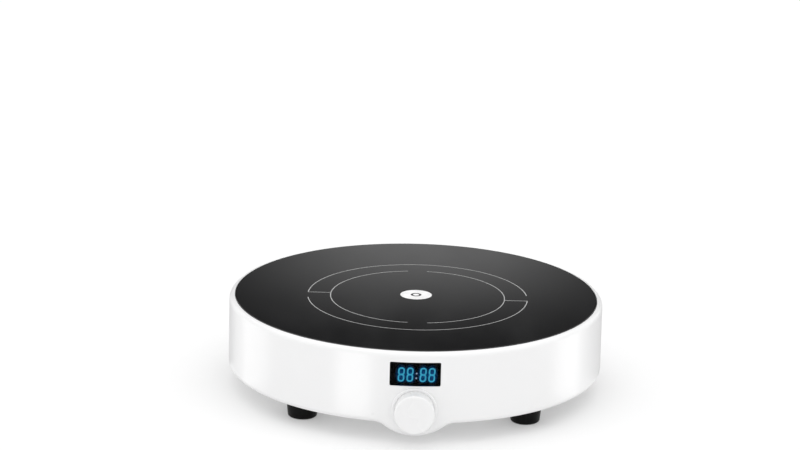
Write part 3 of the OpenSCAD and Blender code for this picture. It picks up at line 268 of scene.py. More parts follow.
def outline(bm, points, closed=True):
    """Draws a wire through (radius, height, rounding) points in the XZ plane and rounds its corners."""
    verts = [bm.verts.new((point[0], 0.0, point[1])) for point in points]
    count = len(verts) if closed else len(verts) - 1
    for i in range(count):
        bm.edges.new((verts[i], verts[(i + 1) % len(verts)]))
    for vert, point in zip(verts, points):
        if len(point) > 2 and point[2] > 0:
            bmesh.ops.bevel(bm, geom=[vert], offset=point[2], offset_type="OFFSET", affect="VERTICES",
                            segments=EDGE_STEPS, profile=0.5, material=-1, clamp_overlap=False)


def lathe(points, steps, closed=True):
    """Turns an outline about the Z axis into a closed mesh."""
    bm = bmesh.new()
    outline(bm, points, closed)
    bmesh.ops.spin(bm, geom=bm.verts[:] + bm.edges[:], cent=(0, 0, 0), axis=(0, 0, 1), angle=2 * pi,
                   steps=steps, use_merge=True)
    weld(bm)
    return bm


def puck(radius, low, high, steps):
    """A plain round disc about the Z axis."""
    return lathe([(0, low), (radius, low), (radius, high), (0, high)], steps, closed=False)


def rounded_plate(width, height, corner, depth):
    """A plate in the XY plane with rounded corners, from z = 0 to z = depth."""
    bm = bmesh.new()
    bmesh.ops.create_cube(bm, size=1.0)
    bmesh.ops.translate(bm, verts=bm.verts, vec=(0, 0, 0.5))
    bmesh.ops.scale(bm, verts=bm.verts, vec=(width, height, depth))
    uprights = [e for e in bm.edges if abs(e.verts[0].co.z - e.verts[1].co.z) > depth / 2]
    bmesh.ops.bevel(bm, geom=uprights, offset=corner, offset_type="OFFSET", affect="EDGES",
                    segments=EDGE_STEPS, profile=0.5, material=-1)
    bmesh.ops.recalc_face_normals(bm, faces=bm.faces)
    return bm


def flat_plane(width, height):
    """A single rectangular face in the XY plane, about the origin."""
    bm = bmesh.new()
    bmesh.ops.create_grid(bm, x_segments=1, y_segments=1, size=0.5)
    bmesh.ops.scale(bm, verts=bm.verts, vec=(width, height, 1))
    return bm


def need_closed(name, bm):
    """Stops the build if a mesh is empty or has an open edge."""
    open_edges = sum(not edge.is_manifold for edge in bm.edges)
    if open_edges or not bm.faces:
        raise RuntimeError(f"{name} has {open_edges} open edges and {len(bm.faces)} faces")


def smooth(mesh):
    """Smooth faces with hard corners."""
    mesh.shade_smooth()
    mesh.set_sharp_from_angle(angle=SHARP_ANGLE)


def solid(name, bm):
    """Makes an object of a closed bmesh."""
    need_closed(name, bm)
    mesh = mesh_of(name, bm)
    smooth(mesh)
    return new_object(name, mesh)


def combine(piece, tool, operation):
    """Joins, cuts or trims a piece with a tool solid and removes the tool."""
    modifier = piece.modifiers.new(operation.title(), "BOOLEAN")
    modifier.operation = operation
    modifier.solver = "EXACT"
    modifier.object = tool
    graph = bpy.context.evaluated_depsgraph_get()
    shaped = bpy.data.meshes.new_from_object(piece.evaluated_get(graph))
    piece.modifiers.remove(modifier)
    old, used = piece.data, tool.data
    piece.data = shaped
    bpy.data.objects.remove(tool)
    bpy.data.meshes.remove(used)
    bpy.data.meshes.remove(old)
    check = bmesh_of(shaped)
    need_closed(piece.name, check)
    check.free()
    smooth(shaped)


def move(piece, x, y):
    piece.data.transform(Matrix.Translation((x, y, 0)))


def finish_piece(piece, body, material, slot, *nodes):
    """Gives a piece its body and material, and hides the frame nodes it stands for. The slot is not used."""
    piece.data.materials.clear()
    piece.data.materials.append(material)
    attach(piece, body)
    if nodes:
        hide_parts(*nodes)


# ---- Shader nodes ----

def feed(tree, socket, value):
    """Links a socket to another one, or sets it to a constant."""
    if isinstance(value, bpy.types.NodeSocket):
        tree.links.new(value, socket)
    else:
        socket.default_value = value


def add_node(tree, kind, at, inputs=None, **settings):
    """Adds a shader node at a place, with its settings and its inputs."""
    node = tree.nodes.new("ShaderNode" + kind)
    node.location = at
    for name, value in settings.items():
        setattr(node, name, value)
    for label, value in (inputs or {}).items():
        feed(tree, node.inputs[label], value)
    return node


def give(tree, node, **values):
    """Feeds a node's inputs, whose names have _ for a space here."""
    for label, value in values.items():
        feed(tree, node.inputs[label.replace("_", " ")], value)


def compute(tree, operation, a, b=0.0, at=(0, 0)):
    """The result of a calculation with two numbers."""
    return add_node(tree, "Math", at, {0: a, 1: b}, operation=operation).outputs["Value"]


def ranged(tree, value, start, end, low=0.0, high=1.0, at=(0, 0), **settings):
    """A number that goes from low to high while a value goes from start to end."""
    limits = {"From Min": start, "From Max": end, "To Min": low, "To Max": high}
    return add_node(tree, "MapRange", at, {"Value": value, **limits}, **settings).outputs["Result"]


def between(tree, factor, low, high):
    """A number that goes from low to high with a factor."""
    return ranged(tree, factor, 0.0, 1.0, low, high, (-400, -100))


def mixed(tree, factor, a, b, at):
    """A colour that goes from a to b with a factor."""
    inputs = {"Factor": factor, "A": a, "B": b}
    return add_node(tree, "Mix", at, inputs, data_type="RGBA").outputs["Result"]


def shade_between(tree, factor, dark, light, y=200):
    """A colour that goes from dark to light with a factor."""
    return mixed(tree, factor, (*dark, 1), (*light, 1), (-400, y))


def relief(tree, height, depth):
    """The normal of a surface that is raised by a height of so many metres."""
    inputs = {"Strength": 1.0, "Distance": depth, "Height": height}
    return add_node(tree, "Bump", (-150, -300), inputs).outputs["Normal"]


def tinted(tint, share):
    return tuple(min(1.0, c * share) for c in tint)


def noise_mask(tree, vector, scale, detail, x, y):
    """Noise whose middle values are stretched from 0 to 1."""
    noise = add_node(tree, "TexNoise", (x, y), {"Vector": vector, "Scale": scale, "Detail": detail})
    return ranged(tree, noise.outputs["Fac"], 0.3, 0.7, at=(x + 300, y))


# ---- Shader groups ----

def shared_group(name, inputs, outputs, build):
    """A shader node group that is built once. Its build function gives one result for each output."""
    if name in bpy.data.node_groups:
        return bpy.data.node_groups[name]
    tree = bpy.data.node_groups.new(name, "ShaderNodeTree")
    for label, default in inputs.items():
        kind = "NodeSocketFloat" if isinstance(default, float) else "NodeSocketVector"
        socket = tree.interface.new_socket(label, in_out="INPUT", socket_type=kind)
        if default is not None:
            socket.default_value = default
    for label in outputs:
        tree.interface.new_socket(label, in_out="OUTPUT", socket_type="NodeSocketFloat")
    start = tree.nodes.new("NodeGroupInput")
    end = tree.nodes.new("NodeGroupOutput")
    start.location.x, end.location.x = -900, 500
    for label, result in zip(outputs, build(tree, start.outputs)):
        tree.links.new(result, end.inputs[label])
    return tree


def moulded_surface():
    """Fine grain and broad clouding of a moulded surface."""
    def build(tree, given):
        return [noise_mask(tree, given["Vector"], given["Grain Scale"], 3.0, -600, 0),
                noise_mask(tree, given["Vector"], given["Cloud Scale"], 4.0, -600, -260)]

    inputs = {"Vector": None, "Grain Scale": 900.0, "Cloud Scale": 14.0}
    return shared_group("Moulded Surface", inputs, ["Grain", "Cloud"], build)


def drawn_lines():
    """Fine parallel lines of a drawn, rolled or layered surface, with faint breaks."""
    def build(tree, given):
        squeezed = add_node(tree, "VectorMath", (-650, 0), {0: given["Vector"], 1: given["Along"]},
                            operation="MULTIPLY").outputs["Vector"]
        return [noise_mask(tree, squeezed, given["Scale"], 5.0, -400, 0)]

    inputs = {"Vector": None, "Scale": 400.0, "Along": (0.05, 1.0, 1.0)}
    return shared_group("Drawn Lines", inputs, ["Lines"], build)


def settled_dust():
    """Sparse specks of dust that gather in patches."""
    def build(tree, given):
        vector = given["Vector"]
        specks = add_node(tree, "TexVoronoi", (-650, 100), {"Vector": vector, "Scale": given["Scale"]})
        cloud = add_node(tree, "TexNoise", (-650, -200), {"Vector": vector, "Scale": 18.0, "Detail": 4.0})
        near = ranged(tree, specks.outputs["Distance"], 0.09, 0.03, at=(-400, 100))
        patches = ranged(tree, cloud.outputs["Fac"], 0.45, 0.75, at=(-400, -200))
        both = compute(tree, "MULTIPLY", near, patches, (-150, 0))
        return [compute(tree, "MULTIPLY", both, given["Amount"], (100, 0))]

    inputs = {"Vector": None, "Scale": 350.0, "Amount": 0.2}
    return shared_group("Settled Dust", inputs, ["Dust"], build)


# ---- Materials ----

def start_material(name):
    """A material with an empty Principled shader and Object coordinates."""
    material = bpy.data.materials.new(name)
    material.use_nodes = True
    tree = material.node_tree
    tree.nodes.clear()
    shader = add_node(tree, "BsdfPrincipled", (100, 0))
    add_node(tree, "OutputMaterial", (400, 0), {"Surface": shader.outputs["BSDF"]})
    return material, tree, shader, add_node(tree, "TexCoord", (-1200, 0)).outputs["Object"]


def use_group(tree, group, vector, **values):
    """Places a node group, feeds its inputs and gives its outputs."""
    node = add_node(tree, "Group", (-900, 0), node_tree=group)
    give(tree, node, Vector=vector, **values)
    return node.outputs


def clouding(tree, vector, scale):
    """Broad clouding alone, for surfaces without grain."""
    return use_group(tree, moulded_surface(), vector, Cloud_Scale=scale)["Cloud"]


def varied(tree, factor, tint, low, high):
    """A tint that goes from a low to a high share of itself with a factor."""
    return shade_between(tree, factor, tinted(tint, low), tinted(tint, high))


def moulded(name, tint, rough, spread=0.06, tone=0.05, grain=900.0, depth=0.004 * MM, cloud=14.0,
            **constants):
    """A moulded or cast material: a tint that clouds a little, uneven gloss and fine grain."""
    material, tree, shader, vector = start_material(name)
    surface = use_group(tree, moulded_surface(), vector, Grain_Scale=grain, Cloud_Scale=cloud)
    give(tree, shader,
         Base_Color=varied(tree, surface["Cloud"], tint, 1 - tone, 1 + tone),
         Roughness=between(tree, surface["Cloud"], rough - spread, rough + spread),
         Normal=relief(tree, surface["Grain"], depth), **constants)
    return material


def drawn_metal(name, tint, rough, scale, along, depth=0.006 * MM, tone=0.12, spread=0.08):
    """A drawn, rolled or turned metal with fine lines along one direction."""
    material, tree, shader, vector = start_material(name)
    lines = use_group(tree, drawn_lines(), vector, Scale=scale, Along=along)["Lines"]
    give(tree, shader, Metallic=1.0,
         Base_Color=varied(tree, lines, tint, 1 - tone, 1 + tone),
         Roughness=between(tree, lines, rough - spread, rough + spread), Normal=relief(tree, lines, depth))
    return material


def housing_plastic(name, tint, rough, spread=0.03):
    """Gloss-moulded white plastic with a faint flow pattern, fine grain and a little dust."""
    material, tree, shader, vector = start_material(name)
    surface = use_group(tree, moulded_surface(), vector, Grain_Scale=1400.0, Cloud_Scale=9.0)
    dust = use_group(tree, settled_dust(), vector, Scale=420.0, Amount=0.25)["Dust"]
    base = varied(tree, surface["Cloud"], tint, 0.985, 1.01)
    give(tree, shader, Base_Color=mixed(tree, dust, base, (0.55, 0.54, 0.52, 1), (-150, 250)), IOR=1.5,
         Roughness=between(tree, surface["Cloud"], rough - spread, rough + spread),
         Normal=relief(tree, surface["Grain"], 0.0015 * MM))
    return material


def polished_glass(tint):
    """Black ceramic glass, mirror smooth apart from faint wiping marks and dust."""
    material, tree, shader, vector = start_material("black_glass_polished")
    wiped = use_group(tree, drawn_lines(), vector, Scale=22.0, Along=(1.0, 0.35, 1.0))["Lines"]
    dust = use_group(tree, settled_dust(), vector, Scale=260.0, Amount=0.5)["Dust"]
    give(tree, shader, Base_Color=shade_between(tree, dust, tint, (0.16, 0.16, 0.16)), IOR=1.5,
         Roughness=between(tree, wiped, 0.035, 0.075))
    return material


def printed_enamel(name, tint):
    """Baked enamel print with a slightly broken cover."""
    return moulded(name, tint, 0.45, spread=0.05, tone=0.08, grain=2200.0, depth=0.002 * MM, cloud=160.0)


def smoked_lens(smoke):
    """Dark clear plastic, polished in front."""
    material, tree, shader, vector = start_material("smoked_lens_clear")
    cloud = clouding(tree, vector, 40.0)
    give(tree, shader, Base_Color=varied(tree, cloud, smoke, 0.96, 1.04),
         Roughness=between(tree, cloud, 0.02, 0.05), Transmission_Weight=1.0, IOR=1.12)
    return material


def lit_segments(name, light):
    """Lit segments, a little brighter in places."""
    material, tree, shader, vector = start_material(name)
    cloud = clouding(tree, vector, 330.0)
    give(tree, shader, Emission_Color=varied(tree, cloud, light, 0.82, 1.12),
         Emission_Strength=GLOW_STRENGTH, Base_Color=(0.02, 0.05, 0.06, 1), Roughness=0.5)
    return material


def face_with_painted_glow(glow, centres, width, height, middle_z):
    """The module's face, with a painted glow around each digit: emission that stands in for the digits' light
    spilling onto the face.
    """
    material, tree, shader, vector = start_material("display_face_painted_glow")
    total = 0.0
    for i, x in enumerate(centres):
        row = -300 * i
        inputs = {"Vector": vector, "Location": (x, DIGITS_LOW.y, middle_z), "Scale": (width, 1.0, height)}
        shifted = add_node(tree, "Mapping", (-900, row), inputs, vector_type="TEXTURE").outputs["Vector"]
        ball = add_node(tree, "TexGradient", (-650, row), {"Vector": shifted}, gradient_type="SPHERICAL")
        total = compute(tree, "ADD", total, ball.outputs["Fac"], (-400, row))
    cloud = clouding(tree, vector, 90.0)
    # Painted glow: the face's emission stands in for light from the digits spilling onto it
    give(tree, shader, Emission_Color=shade_between(tree, total, (0, 0, 0), glow),
         Emission_Strength=GLOW_STRENGTH, Roughness=0.5,
         Base_Color=shade_between(tree, cloud, (0.004, 0.004, 0.005), (0.008, 0.008, 0.01), -500))
    return material


def circuit_board(name, tint):
    """Green solder mask over copper tracks."""
    material, tree, shader, vector = start_material(name)
    black, white = (0, 0, 0, 1), (1, 1, 1, 1)
    tracks = add_node(tree, "TexBrick", (-900, -300), {
        "Vector": vector, "Scale": 55.0, "Mortar Size": 0.035, "Color1": black, "Color2": black,
        "Mortar": white}).outputs["Fac"]
    cloud = clouding(tree, vector, 30.0)
    give(tree, shader, Base_Color=shade_between(tree, tracks, tint, tinted(tint, 2.1)),
         Roughness=between(tree, cloud, 0.24, 0.4), Normal=relief(tree, tracks, 0.03 * MM))
    return material


def ribbon_wires(name, tint):
    """A flat cable of parallel wires under one grey skin."""
    material, tree, shader, vector = start_material(name)
    wires = add_node(tree, "TexWave", (-900, -300), {"Vector": vector, "Scale": 250.0},
                     bands_direction="X").outputs["Fac"]
    give(tree, shader, Base_Color=varied(tree, wires, tint, 0.72, 1.08),
         Normal=relief(tree, wires, 0.2 * MM), Roughness=0.5)
    return material


# ---- Pieces ----

def chin_bottom(x, s, half_width):
    """Height of the chin's underside at a place across it."""
    tangent = s.chin_radius * half_width / (s.chin_radius + s.chin_fillet)
    if abs(x) <= tangent:
        return CHIN_LOW + s.chin_radius - sqrt(s.chin_radius ** 2 - x * x)
    side = min(half_width - abs(x), s.chin_fillet)
    return DRUM_BOTTOM - s.chin_fillet + sqrt(s.chin_fillet ** 2 - side ** 2)


def chin_half_width(s):
    """Half of the chin's width, where its hollow curves run out into the lower edge."""
    rise = CHIN_LOW + s.chin_radius - DRUM_BOTTOM + s.chin_fillet
    return sqrt((s.chin_radius + s.chin_fillet) ** 2 - rise ** 2)


def housing_shell(s):
    """The housing's round wall with its seat, its lip and the hanging chin, about the drum's axis."""
    hair, seam, step = 0.01 * MM, 0.02 * MM, 0.8 * MM
    rim_edge, cut_reach = 0.15 * MM, 4 * MM
    seat = GLASS_HIGH.x + s.seam
    ledge = seat - s.ledge_width
    inner = DRUM_RADIUS - s.wall
    lip = DRUM_RADIUS - s.lip
    lip_top = DRUM_BOTTOM + s.wall
    seat_z = DRUM_TOP - s.seat_depth
    wall_low = DRUM_BOTTOM + s.lower_edge + FLAT_MARGIN
    bm = lathe([
        (lip, DRUM_BOTTOM), (DRUM_RADIUS, DRUM_BOTTOM, s.lower_edge), (DRUM_RADIUS, wall_low),
        (DRUM_RADIUS, DRUM_TOP - s.shoulder - FLAT_MARGIN), (DRUM_RADIUS, DRUM_TOP, s.shoulder),
        (seat, DRUM_TOP, rim_edge), (seat, seat_z), (ledge, seat_z), (ledge, seat_z - s.ledge_depth),
        (inner, seat_z - s.ledge_depth), (inner, lip_top), (inner - step, lip_top),
        (inner - 2 * step, lip_top), (lip, lip_top)], WALL_STEPS)
    half_width = chin_half_width(s)
    for x in (-half_width - seam, -half_width, half_width, half_width + seam):
        near = [f for f in bm.faces if f.calc_center_median().y < 0
                and abs(f.calc_center_median().x - x) < cut_reach]
        geom = list(dict.fromkeys(g for f in near for g in (*f.verts, *f.edges, f)))
        bmesh.ops.bisect_plane(bm, geom=geom, dist=FINE_WELD, plane_co=(x, 0, 0), plane_no=(1, 0, 0))
    back = -DRUM_RADIUS + s.chin_depth
    for vert in bm.verts:
        at = vert.co
        if at.y > 0 or abs(at.x) > half_width + hair / 10 or at.z > wall_low + hair:
            continue
        radius = Vector((at.x, at.y)).length
        drop = DRUM_BOTTOM - chin_bottom(at.x, s, half_width)
        on_top = at.z > lip_top - 10 * hair
        if radius < lip + 20 * hair:
            at.y = back
            drop = 0 if on_top else drop
        elif on_top and radius < inner - step / 2:
            at.y = back - s.wall
            drop = 0 if radius < inner - 1.5 * step else drop
        at.z -= drop
    weld(bm)
    return bm


def knob_ring(s):
    """The raised disc around the knob, before its recess is cut."""
    edge, root = 0.7 * MM, 1.5 * MM
    front, rear = DRUM_RADIUS + s.ring_height, DRUM_RADIUS - root
    bm = lathe([(0, front), (s.ring_radius - edge - FLAT_MARGIN, front), (s.ring_radius, front, edge),
                (s.ring_radius, rear), (0, rear)], RING_STEPS, closed=False)
    place(bm, (0, 0, KNOB_Z), FACING_FRONT)
    return bm


def housing_cutters(s):
    """Everything that is cut out of the housing: knob recess, window, cord hole and cooling slots."""
    recess_depth, slot_corner, reach = 0.2 * MM, 0.4 * MM, 8 * MM
    floor = DRUM_RADIUS - recess_depth
    recess = KNOB_HIGH.x + s.ring_gap
    inside, outside = DRUM_RADIUS - reach, DRUM_RADIUS + reach
    depth = outside - inside
    bm = lathe([(0, inside), (s.bushing_hole, inside), (s.bushing_hole, floor), (recess, floor),
                (recess, outside), (0, outside)], RING_STEPS, closed=False)
    place(bm, (0, 0, KNOB_Z), FACING_FRONT)
    window = rounded_plate(s.window_width, s.window_height, s.window_corner, depth)
    place(window, (0, -inside, LENS_Z), FACING_FRONT)
    add(bm, window)
    inlet = puck(s.inlet, 0, depth, HOLE_STEPS)
    place(inlet, (0, outside, GLAND_Z), FACING_FRONT)
    add(bm, inlet)
    for side in (-1, 1):
        for i in range(s.slots):
            slot = rounded_plate(s.slot_width, s.slot_height, slot_corner, depth)
            place(slot, (0, outside, GLAND_Z), FACING_FRONT)
            turn_about_z(slot, side * (s.first_slot + i * s.slot_step))
            add(bm, slot)
    return bm


def make_housing(s):
    piece = solid("housing_round", housing_shell(s))
    combine(piece, solid("housing_ring", knob_ring(s)), "UNION")
    combine(piece, solid("housing_cuts", housing_cutters(s)), "DIFFERENCE")
    move(piece, 0, DRUM_Y)
    finish_piece(piece, "base", housing_plastic("white_plastic_gloss", s.tint, 0.3), "white_plastic",
                 "upper_housing")


def arc(radius, width, start, end, low, high):
    """A flat printed arc from one angle to another, counted from the right."""
    bm = flat_plane(width, high - low)
    place(bm, (radius, 0, (low + high) / 2), FACING_FRONT)
    least, step = 8, 0.75
    steps = max(least, int(degrees(end - start) / step))
    turn_about_z(bm, start)
    bmesh.ops.spin(bm, geom=bm.verts[:] + bm.edges[:] + bm.faces[:], cent=(0, 0, 0), axis=(0, 0, 1),
                   angle=end - start, steps=steps)
    weld(bm, FINE_WELD)
    return bm


def glass_marks(s, low, high):
    """The printed lines: two broken rings joined by a short line on either side."""
    bm = bmesh.new()
    link_corner = 0.1 * MM
    half_break = asin(s.ring_break / 2 / s.inner_ring)
    for turn in (0, pi):
        outer = arc(s.outer_ring, s.line_width, asin(s.outer_break / s.outer_ring),
                    pi - asin(s.link_offset / s.outer_ring), low, high)
        inner = arc(s.inner_ring, s.line_width, -pi / 2 + half_break, pi / 2 - half_break, low, high)
        near = sqrt(s.inner_ring ** 2 - s.link_offset ** 2)
        far = sqrt(s.outer_ring ** 2 - s.link_offset ** 2)
        link = rounded_plate(far - near, s.line_width, link_corner, high - low)
        place(link, ((near + far) / 2, -s.link_offset, low))
        for part in (outer, inner, link):
            turn_about_z(part, turn)
            add(bm, part)
    return bm


def make_glass(s):
    lower_edge, print_root = 0.3 * MM, 0.02 * MM
    top = GLASS_HIGH.z - s.print_height * 1.5
    radius = GLASS_HIGH.x
    plate = solid("glass_round", lathe([
        (0, GLASS_LOW.z), (radius, GLASS_LOW.z, lower_edge), (radius, top, s.bevel),
        (radius - s.bevel - FLAT_MARGIN, top), (0, top)], GLASS_STEPS, closed=False))
    move(plate, 0, DRUM_Y)
    finish_piece(plate, "base", polished_glass(s.tint), "black_glass", "glass_plate")
    low, high = top - print_root, top + s.print_height
    marks = solid("glass_marks", glass_marks(s, low, high))
    move(marks, s.ring_right, DRUM_Y - s.ring_forward)
    finish_piece(marks, "base", printed_enamel("print_grey", s.print_tint), "black_glass")
    dot = puck(s.dot_radius, low, high, DOT_STEPS)
    inside = s.dot_radius + s.dot_gap
    add(dot, lathe([(inside, low), (s.disc_radius, low), (s.disc_radius, high), (inside, high)],
                   SMALL_STEPS))
    disc = solid("glass_centre_disc", dot)
    move(disc, 0, DRUM_Y)
    finish_piece(disc, "base", printed_enamel("print_white", PRINT_WHITE), "black_glass")


def wall_slice(name, back, front, width, height, corner):
    """A curved pane about the drum's axis, between two radii, with the outline of a rounded plate."""
    margin, reach = 5 * MM, 15 * MM
    low, high = LENS_LOW.z - margin, LENS_HIGH.z + margin
    piece = solid(name, lathe([(back, low), (front, low), (front, high), (back, high)], WALL_STEPS))
    plate = rounded_plate(width, height, corner, 2 * reach)
    place(plate, (0, -DRUM_RADIUS + reach, LENS_Z), FACING_FRONT)
    combine(piece, solid(name + "_plate", plate), "INTERSECT")
    return piece


def make_lens(s):
    """The lens fills the window, and its wider flange lies behind the wall."""
    window = bpy.context.scene.cooktop_housing
    width, height, corner = window.window_width, window.window_height, window.window_corner
    flange_depth, inset = 1.1 * MM, 0.1 * MM
    inner = DRUM_RADIUS - window.wall
    back = inner - flange_depth
    piece = wall_slice("lens_curved", back, DRUM_RADIUS - inset, width - 2 * s.gap, height - 2 * s.gap,
                       corner - s.gap / 2)
    rim = wall_slice("lens_rim", back, inner - inset, width + 2 * s.flange, height + 2 * s.flange, corner)
    combine(piece, rim, "UNION")
    move(piece, 0, DRUM_Y)
    finish_piece(piece, "base", smoked_lens(s.smoke), "smoked_lens", "display_window")


def digit(s, depth):
    """The mesh of one lit digit: two rounded loops that share their middle stroke."""
    loop_height = (s.digit_height + s.stroke) / 2
    loops = []
    for side in (-1, 1):
        loop = solid("loop", rounded_plate(s.digit_width, loop_height, s.digit_corner, depth))
        hole = rounded_plate(s.digit_width - 2 * s.stroke, loop_height - 2 * s.stroke,
                             s.digit_corner - s.stroke, depth * 3)
        place(hole, (0, 0, -depth))
        combine(loop, solid("hole", hole), "DIFFERENCE")
        move(loop, 0, side * (loop_height - s.stroke) / 2)
        loops.append(loop)
    combine(loops[0], loops[1], "UNION")
    mesh = loops[0].data
    bpy.data.objects.remove(loops[0])
    return mesh


def digit_places(s):
    """The digits' middles across the display."""
    return [side * (s.pair_pitch / 2 + i * s.digit_pitch) for side in (-1, 1) for i in (0, 1)]


def make_digits(s):
    """The digits and their colon, and the painted glow behind them on the module's face: emission that stands
    in for their spilt light.
    """
    depth = DIGITS_HIGH.y - DIGITS_LOW.y
    middle = LENS_Z - s.digit_drop
    painted_glow_width, painted_glow_height = s.digit_width * 0.95, s.digit_height * 0.75
    one = digit(s, depth)
    bm = bmesh.new()
    for x in digit_places(s):
        copy = bmesh_of(one)
        place(copy, (x, 0, 0))
        add(bm, copy)
    bpy.data.meshes.remove(one)
    colon = bmesh.new()
    for side in (-1, 1):
        dot = puck(s.colon_size / 2, 0, depth, COLON_STEPS)
        place(dot, (0, side * s.colon_pitch / 2 - s.colon_drop, 0))
        add(colon, dot)
    lean = Matrix.Shear("XZ", 4, (tan(s.slant), 0))
    for shape, name, light, nodes in ((bm, "digits_lit", s.light, ["led_segments"]),
                                      (colon, "colon_lit", s.colon_light, [])):
        place(shape, (s.digit_shift, DIGITS_HIGH.y, middle), FACING_FRONT @ lean)
        finish_piece(solid(name, shape), "base", lit_segments(name, light), "lit_segment", *nodes)
    centres = [x + s.digit_shift for x in digit_places(s)]
    # The module's face gets a painted glow: emission around each digit stands in for their light spilling
    # onto it
    finish(face_with_painted_glow(s.glow, centres, painted_glow_width, painted_glow_height, middle), "led_display")


def make_knob(s):
    rim_edge, soft_edge, inner_corner, socket_root = 0.4 * MM, 0.3 * MM, 1.0 * MM, 0.5 * MM
    extra_front, past_clip, past_shaft = 1 * MM, 0.5 * MM, 0.2 * MM
    radius = KNOB_HIGH.x
    front, rear = -KNOB_LOW.y, -KNOB_HIGH.y
    face = front - s.wall - extra_front
    socket_rear = -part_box("knob_clip")[1].y - past_clip
    bore_end = -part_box("encoder_shaft")[0].y + past_shaft
    bm = lathe([
        (0, front), (radius - s.rounding - FLAT_MARGIN, front), (radius, front, s.rounding),
        (radius, front - s.rounding - FLAT_MARGIN), (radius, rear, rim_edge),
        (radius - s.wall, rear, soft_edge), (radius - s.wall, face, inner_corner),
        (s.socket, face, socket_root), (s.socket, socket_rear, soft_edge),
        (s.bore, socket_rear), (s.bore, bore_end), (0, bore_end)], KNOB_STEPS, closed=False)
    place(bm, (0, 0, KNOB_Z), FACING_FRONT)
    piece = solid("knob_round", bm)
    finish_piece(piece, "knob", housing_plastic("white_knob_gloss", s.tint, 0.28), "white_knob", "knob")


def make_feet(s):
    rubber = moulded("black_rubber_foot", (0.004, 0.004, 0.004), 0.34, spread=0.06, grain=1200.0,
                     Specular_IOR_Level=0.1)
    recess_edge = 0.3 * MM
    for node in ("foot_front_left", "foot_front_right", "foot_rear_left", "foot_rear_right"):
        low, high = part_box(node)
        top_radius, height = (high.x - low.x) / 2, high.z - low.z
        bm = lathe([
            (s.recess_radius, 0, recess_edge), (s.bottom_radius, 0, s.rounding), (top_radius, height),
            (s.hole_radius, height), (s.hole_radius, s.recess_depth), (s.recess_radius, s.recess_depth)],
            SMALL_STEPS)
        place(bm, ((low.x + high.x) / 2, (low.y + high.y) / 2, low.z))
        finish_piece(solid(node + "_round", bm), "base", rubber, "black_rubber", node)


def make_gland(s):
    rear, front = -GLAND_HIGH.y, -GLAND_LOW.y
    radius = GLAND_HIGH.x
    outer_edge, edge, lip_edge = 1.0 * MM, 0.3 * MM, 0.5 * MM
    rear_mouth, front_mouth = 0.6 * MM, 0.4 * MM
    shelf, lip_rear = rear + s.flange, front - 2 * MM
    bm = lathe([
        (s.bore, rear, rear_mouth), (radius, rear, outer_edge), (radius, shelf, edge), (s.neck, shelf),
        (s.neck, lip_rear), (s.lip, lip_rear, edge), (s.lip, front, lip_edge),
        (s.bore, front, front_mouth)], SMALL_STEPS)
    place(bm, (0, 0, GLAND_Z), FACING_FRONT)
    rubber = moulded("black_rubber_gland", (0.014, 0.014, 0.015), 0.5, spread=0.06, grain=900.0)
    finish_piece(solid("gland_round", bm), "base", rubber, "black_rubber", "cord_gland")


# ---- Finishes of the frame's own nodes ----

def finish(material, *nodes):
    """Gives nodes of the frame a material."""
    for node in nodes:
        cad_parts[node].data.materials[0] = material


SCREWS = ("board_screws", "coil_screws", "control_screws", "fan_screws", "foot_screws", "heatsink_screws",
          "housing_screws")


def finish_base():
    finish(housing_plastic("white_plastic_satin", (0.80, 0.80, 0.80), 0.42), "base_pan")
    finish(drawn_metal("zinc_steel_screw", STEEL, 0.3, 900.0, (1.0, 1.0, 0.2)), *SCREWS)
    finish(moulded("grey_silicone_soft", (0.24, 0.24, 0.24), 0.55, grain=700.0), "glass_seal",
           "thermistor_holder")


def finish_electronics():
    finish(circuit_board("board_green_mask", (0.012, 0.085, 0.03)), "main_board", "control_board")
    finish(moulded("black_epoxy", (0.02, 0.02, 0.021), 0.45, grain=1600.0), "bridge_rectifier", "igbt",
           "buzzer", "control_chips")
    finish(moulded("ivory_nylon", (0.72, 0.68, 0.56), 0.42, grain=800.0), "board_connectors", "fuse")
    finish(moulded("amber_film", (0.62, 0.33, 0.035), 0.3, grain=600.0, tone=0.12), "film_capacitors",
           "transformer")
    finish(moulded("blue_epoxy", (0.02, 0.09, 0.36), 0.34, grain=600.0, tone=0.12), "current_transformer",
           "varistor")
    finish(moulded("dark_blue_sleeve", (0.012, 0.02, 0.07), 0.28, grain=500.0), "electrolytic_capacitors")
    finish(drawn_metal("aluminium_extruded", (0.78, 0.78, 0.79), 0.34, 500.0, (1.0, 0.05, 1.0)), "heatsink")
    finish(moulded("iron_powder_core", (0.30, 0.24, 0.05), 0.55, grain=1500.0, tone=0.15), "choke_core")
    finish(drawn_metal("copper_enamel_choke", (0.72, 0.27, 0.12), 0.26, 1500.0, (1.0, 1.0, 1.0)),
           "choke_winding")
    finish(drawn_metal("brass_turned", BRASS, 0.28, 900.0, (1.0, 1.0, 0.15)), "coil_terminals")
    finish(ribbon_wires("grey_ribbon_skin", (0.42, 0.42, 0.43)), "ribbon_cable")


def finish_encoder():
    finish(drawn_metal("zinc_steel_drawn", STEEL, 0.3, 800.0, (1.0, 0.06, 1.0)), "encoder_body",
           "encoder_dome", "encoder_nut", "encoder_shaft", "encoder_washer", "knob_clip")
    finish(drawn_metal("brass_threaded", BRASS, 0.28, 900.0, (0.1, 1.0, 0.1)), "encoder_bushing")
    finish(moulded("amber_rotor", (0.50, 0.24, 0.04), 0.4, grain=900.0), "encoder_rotor")


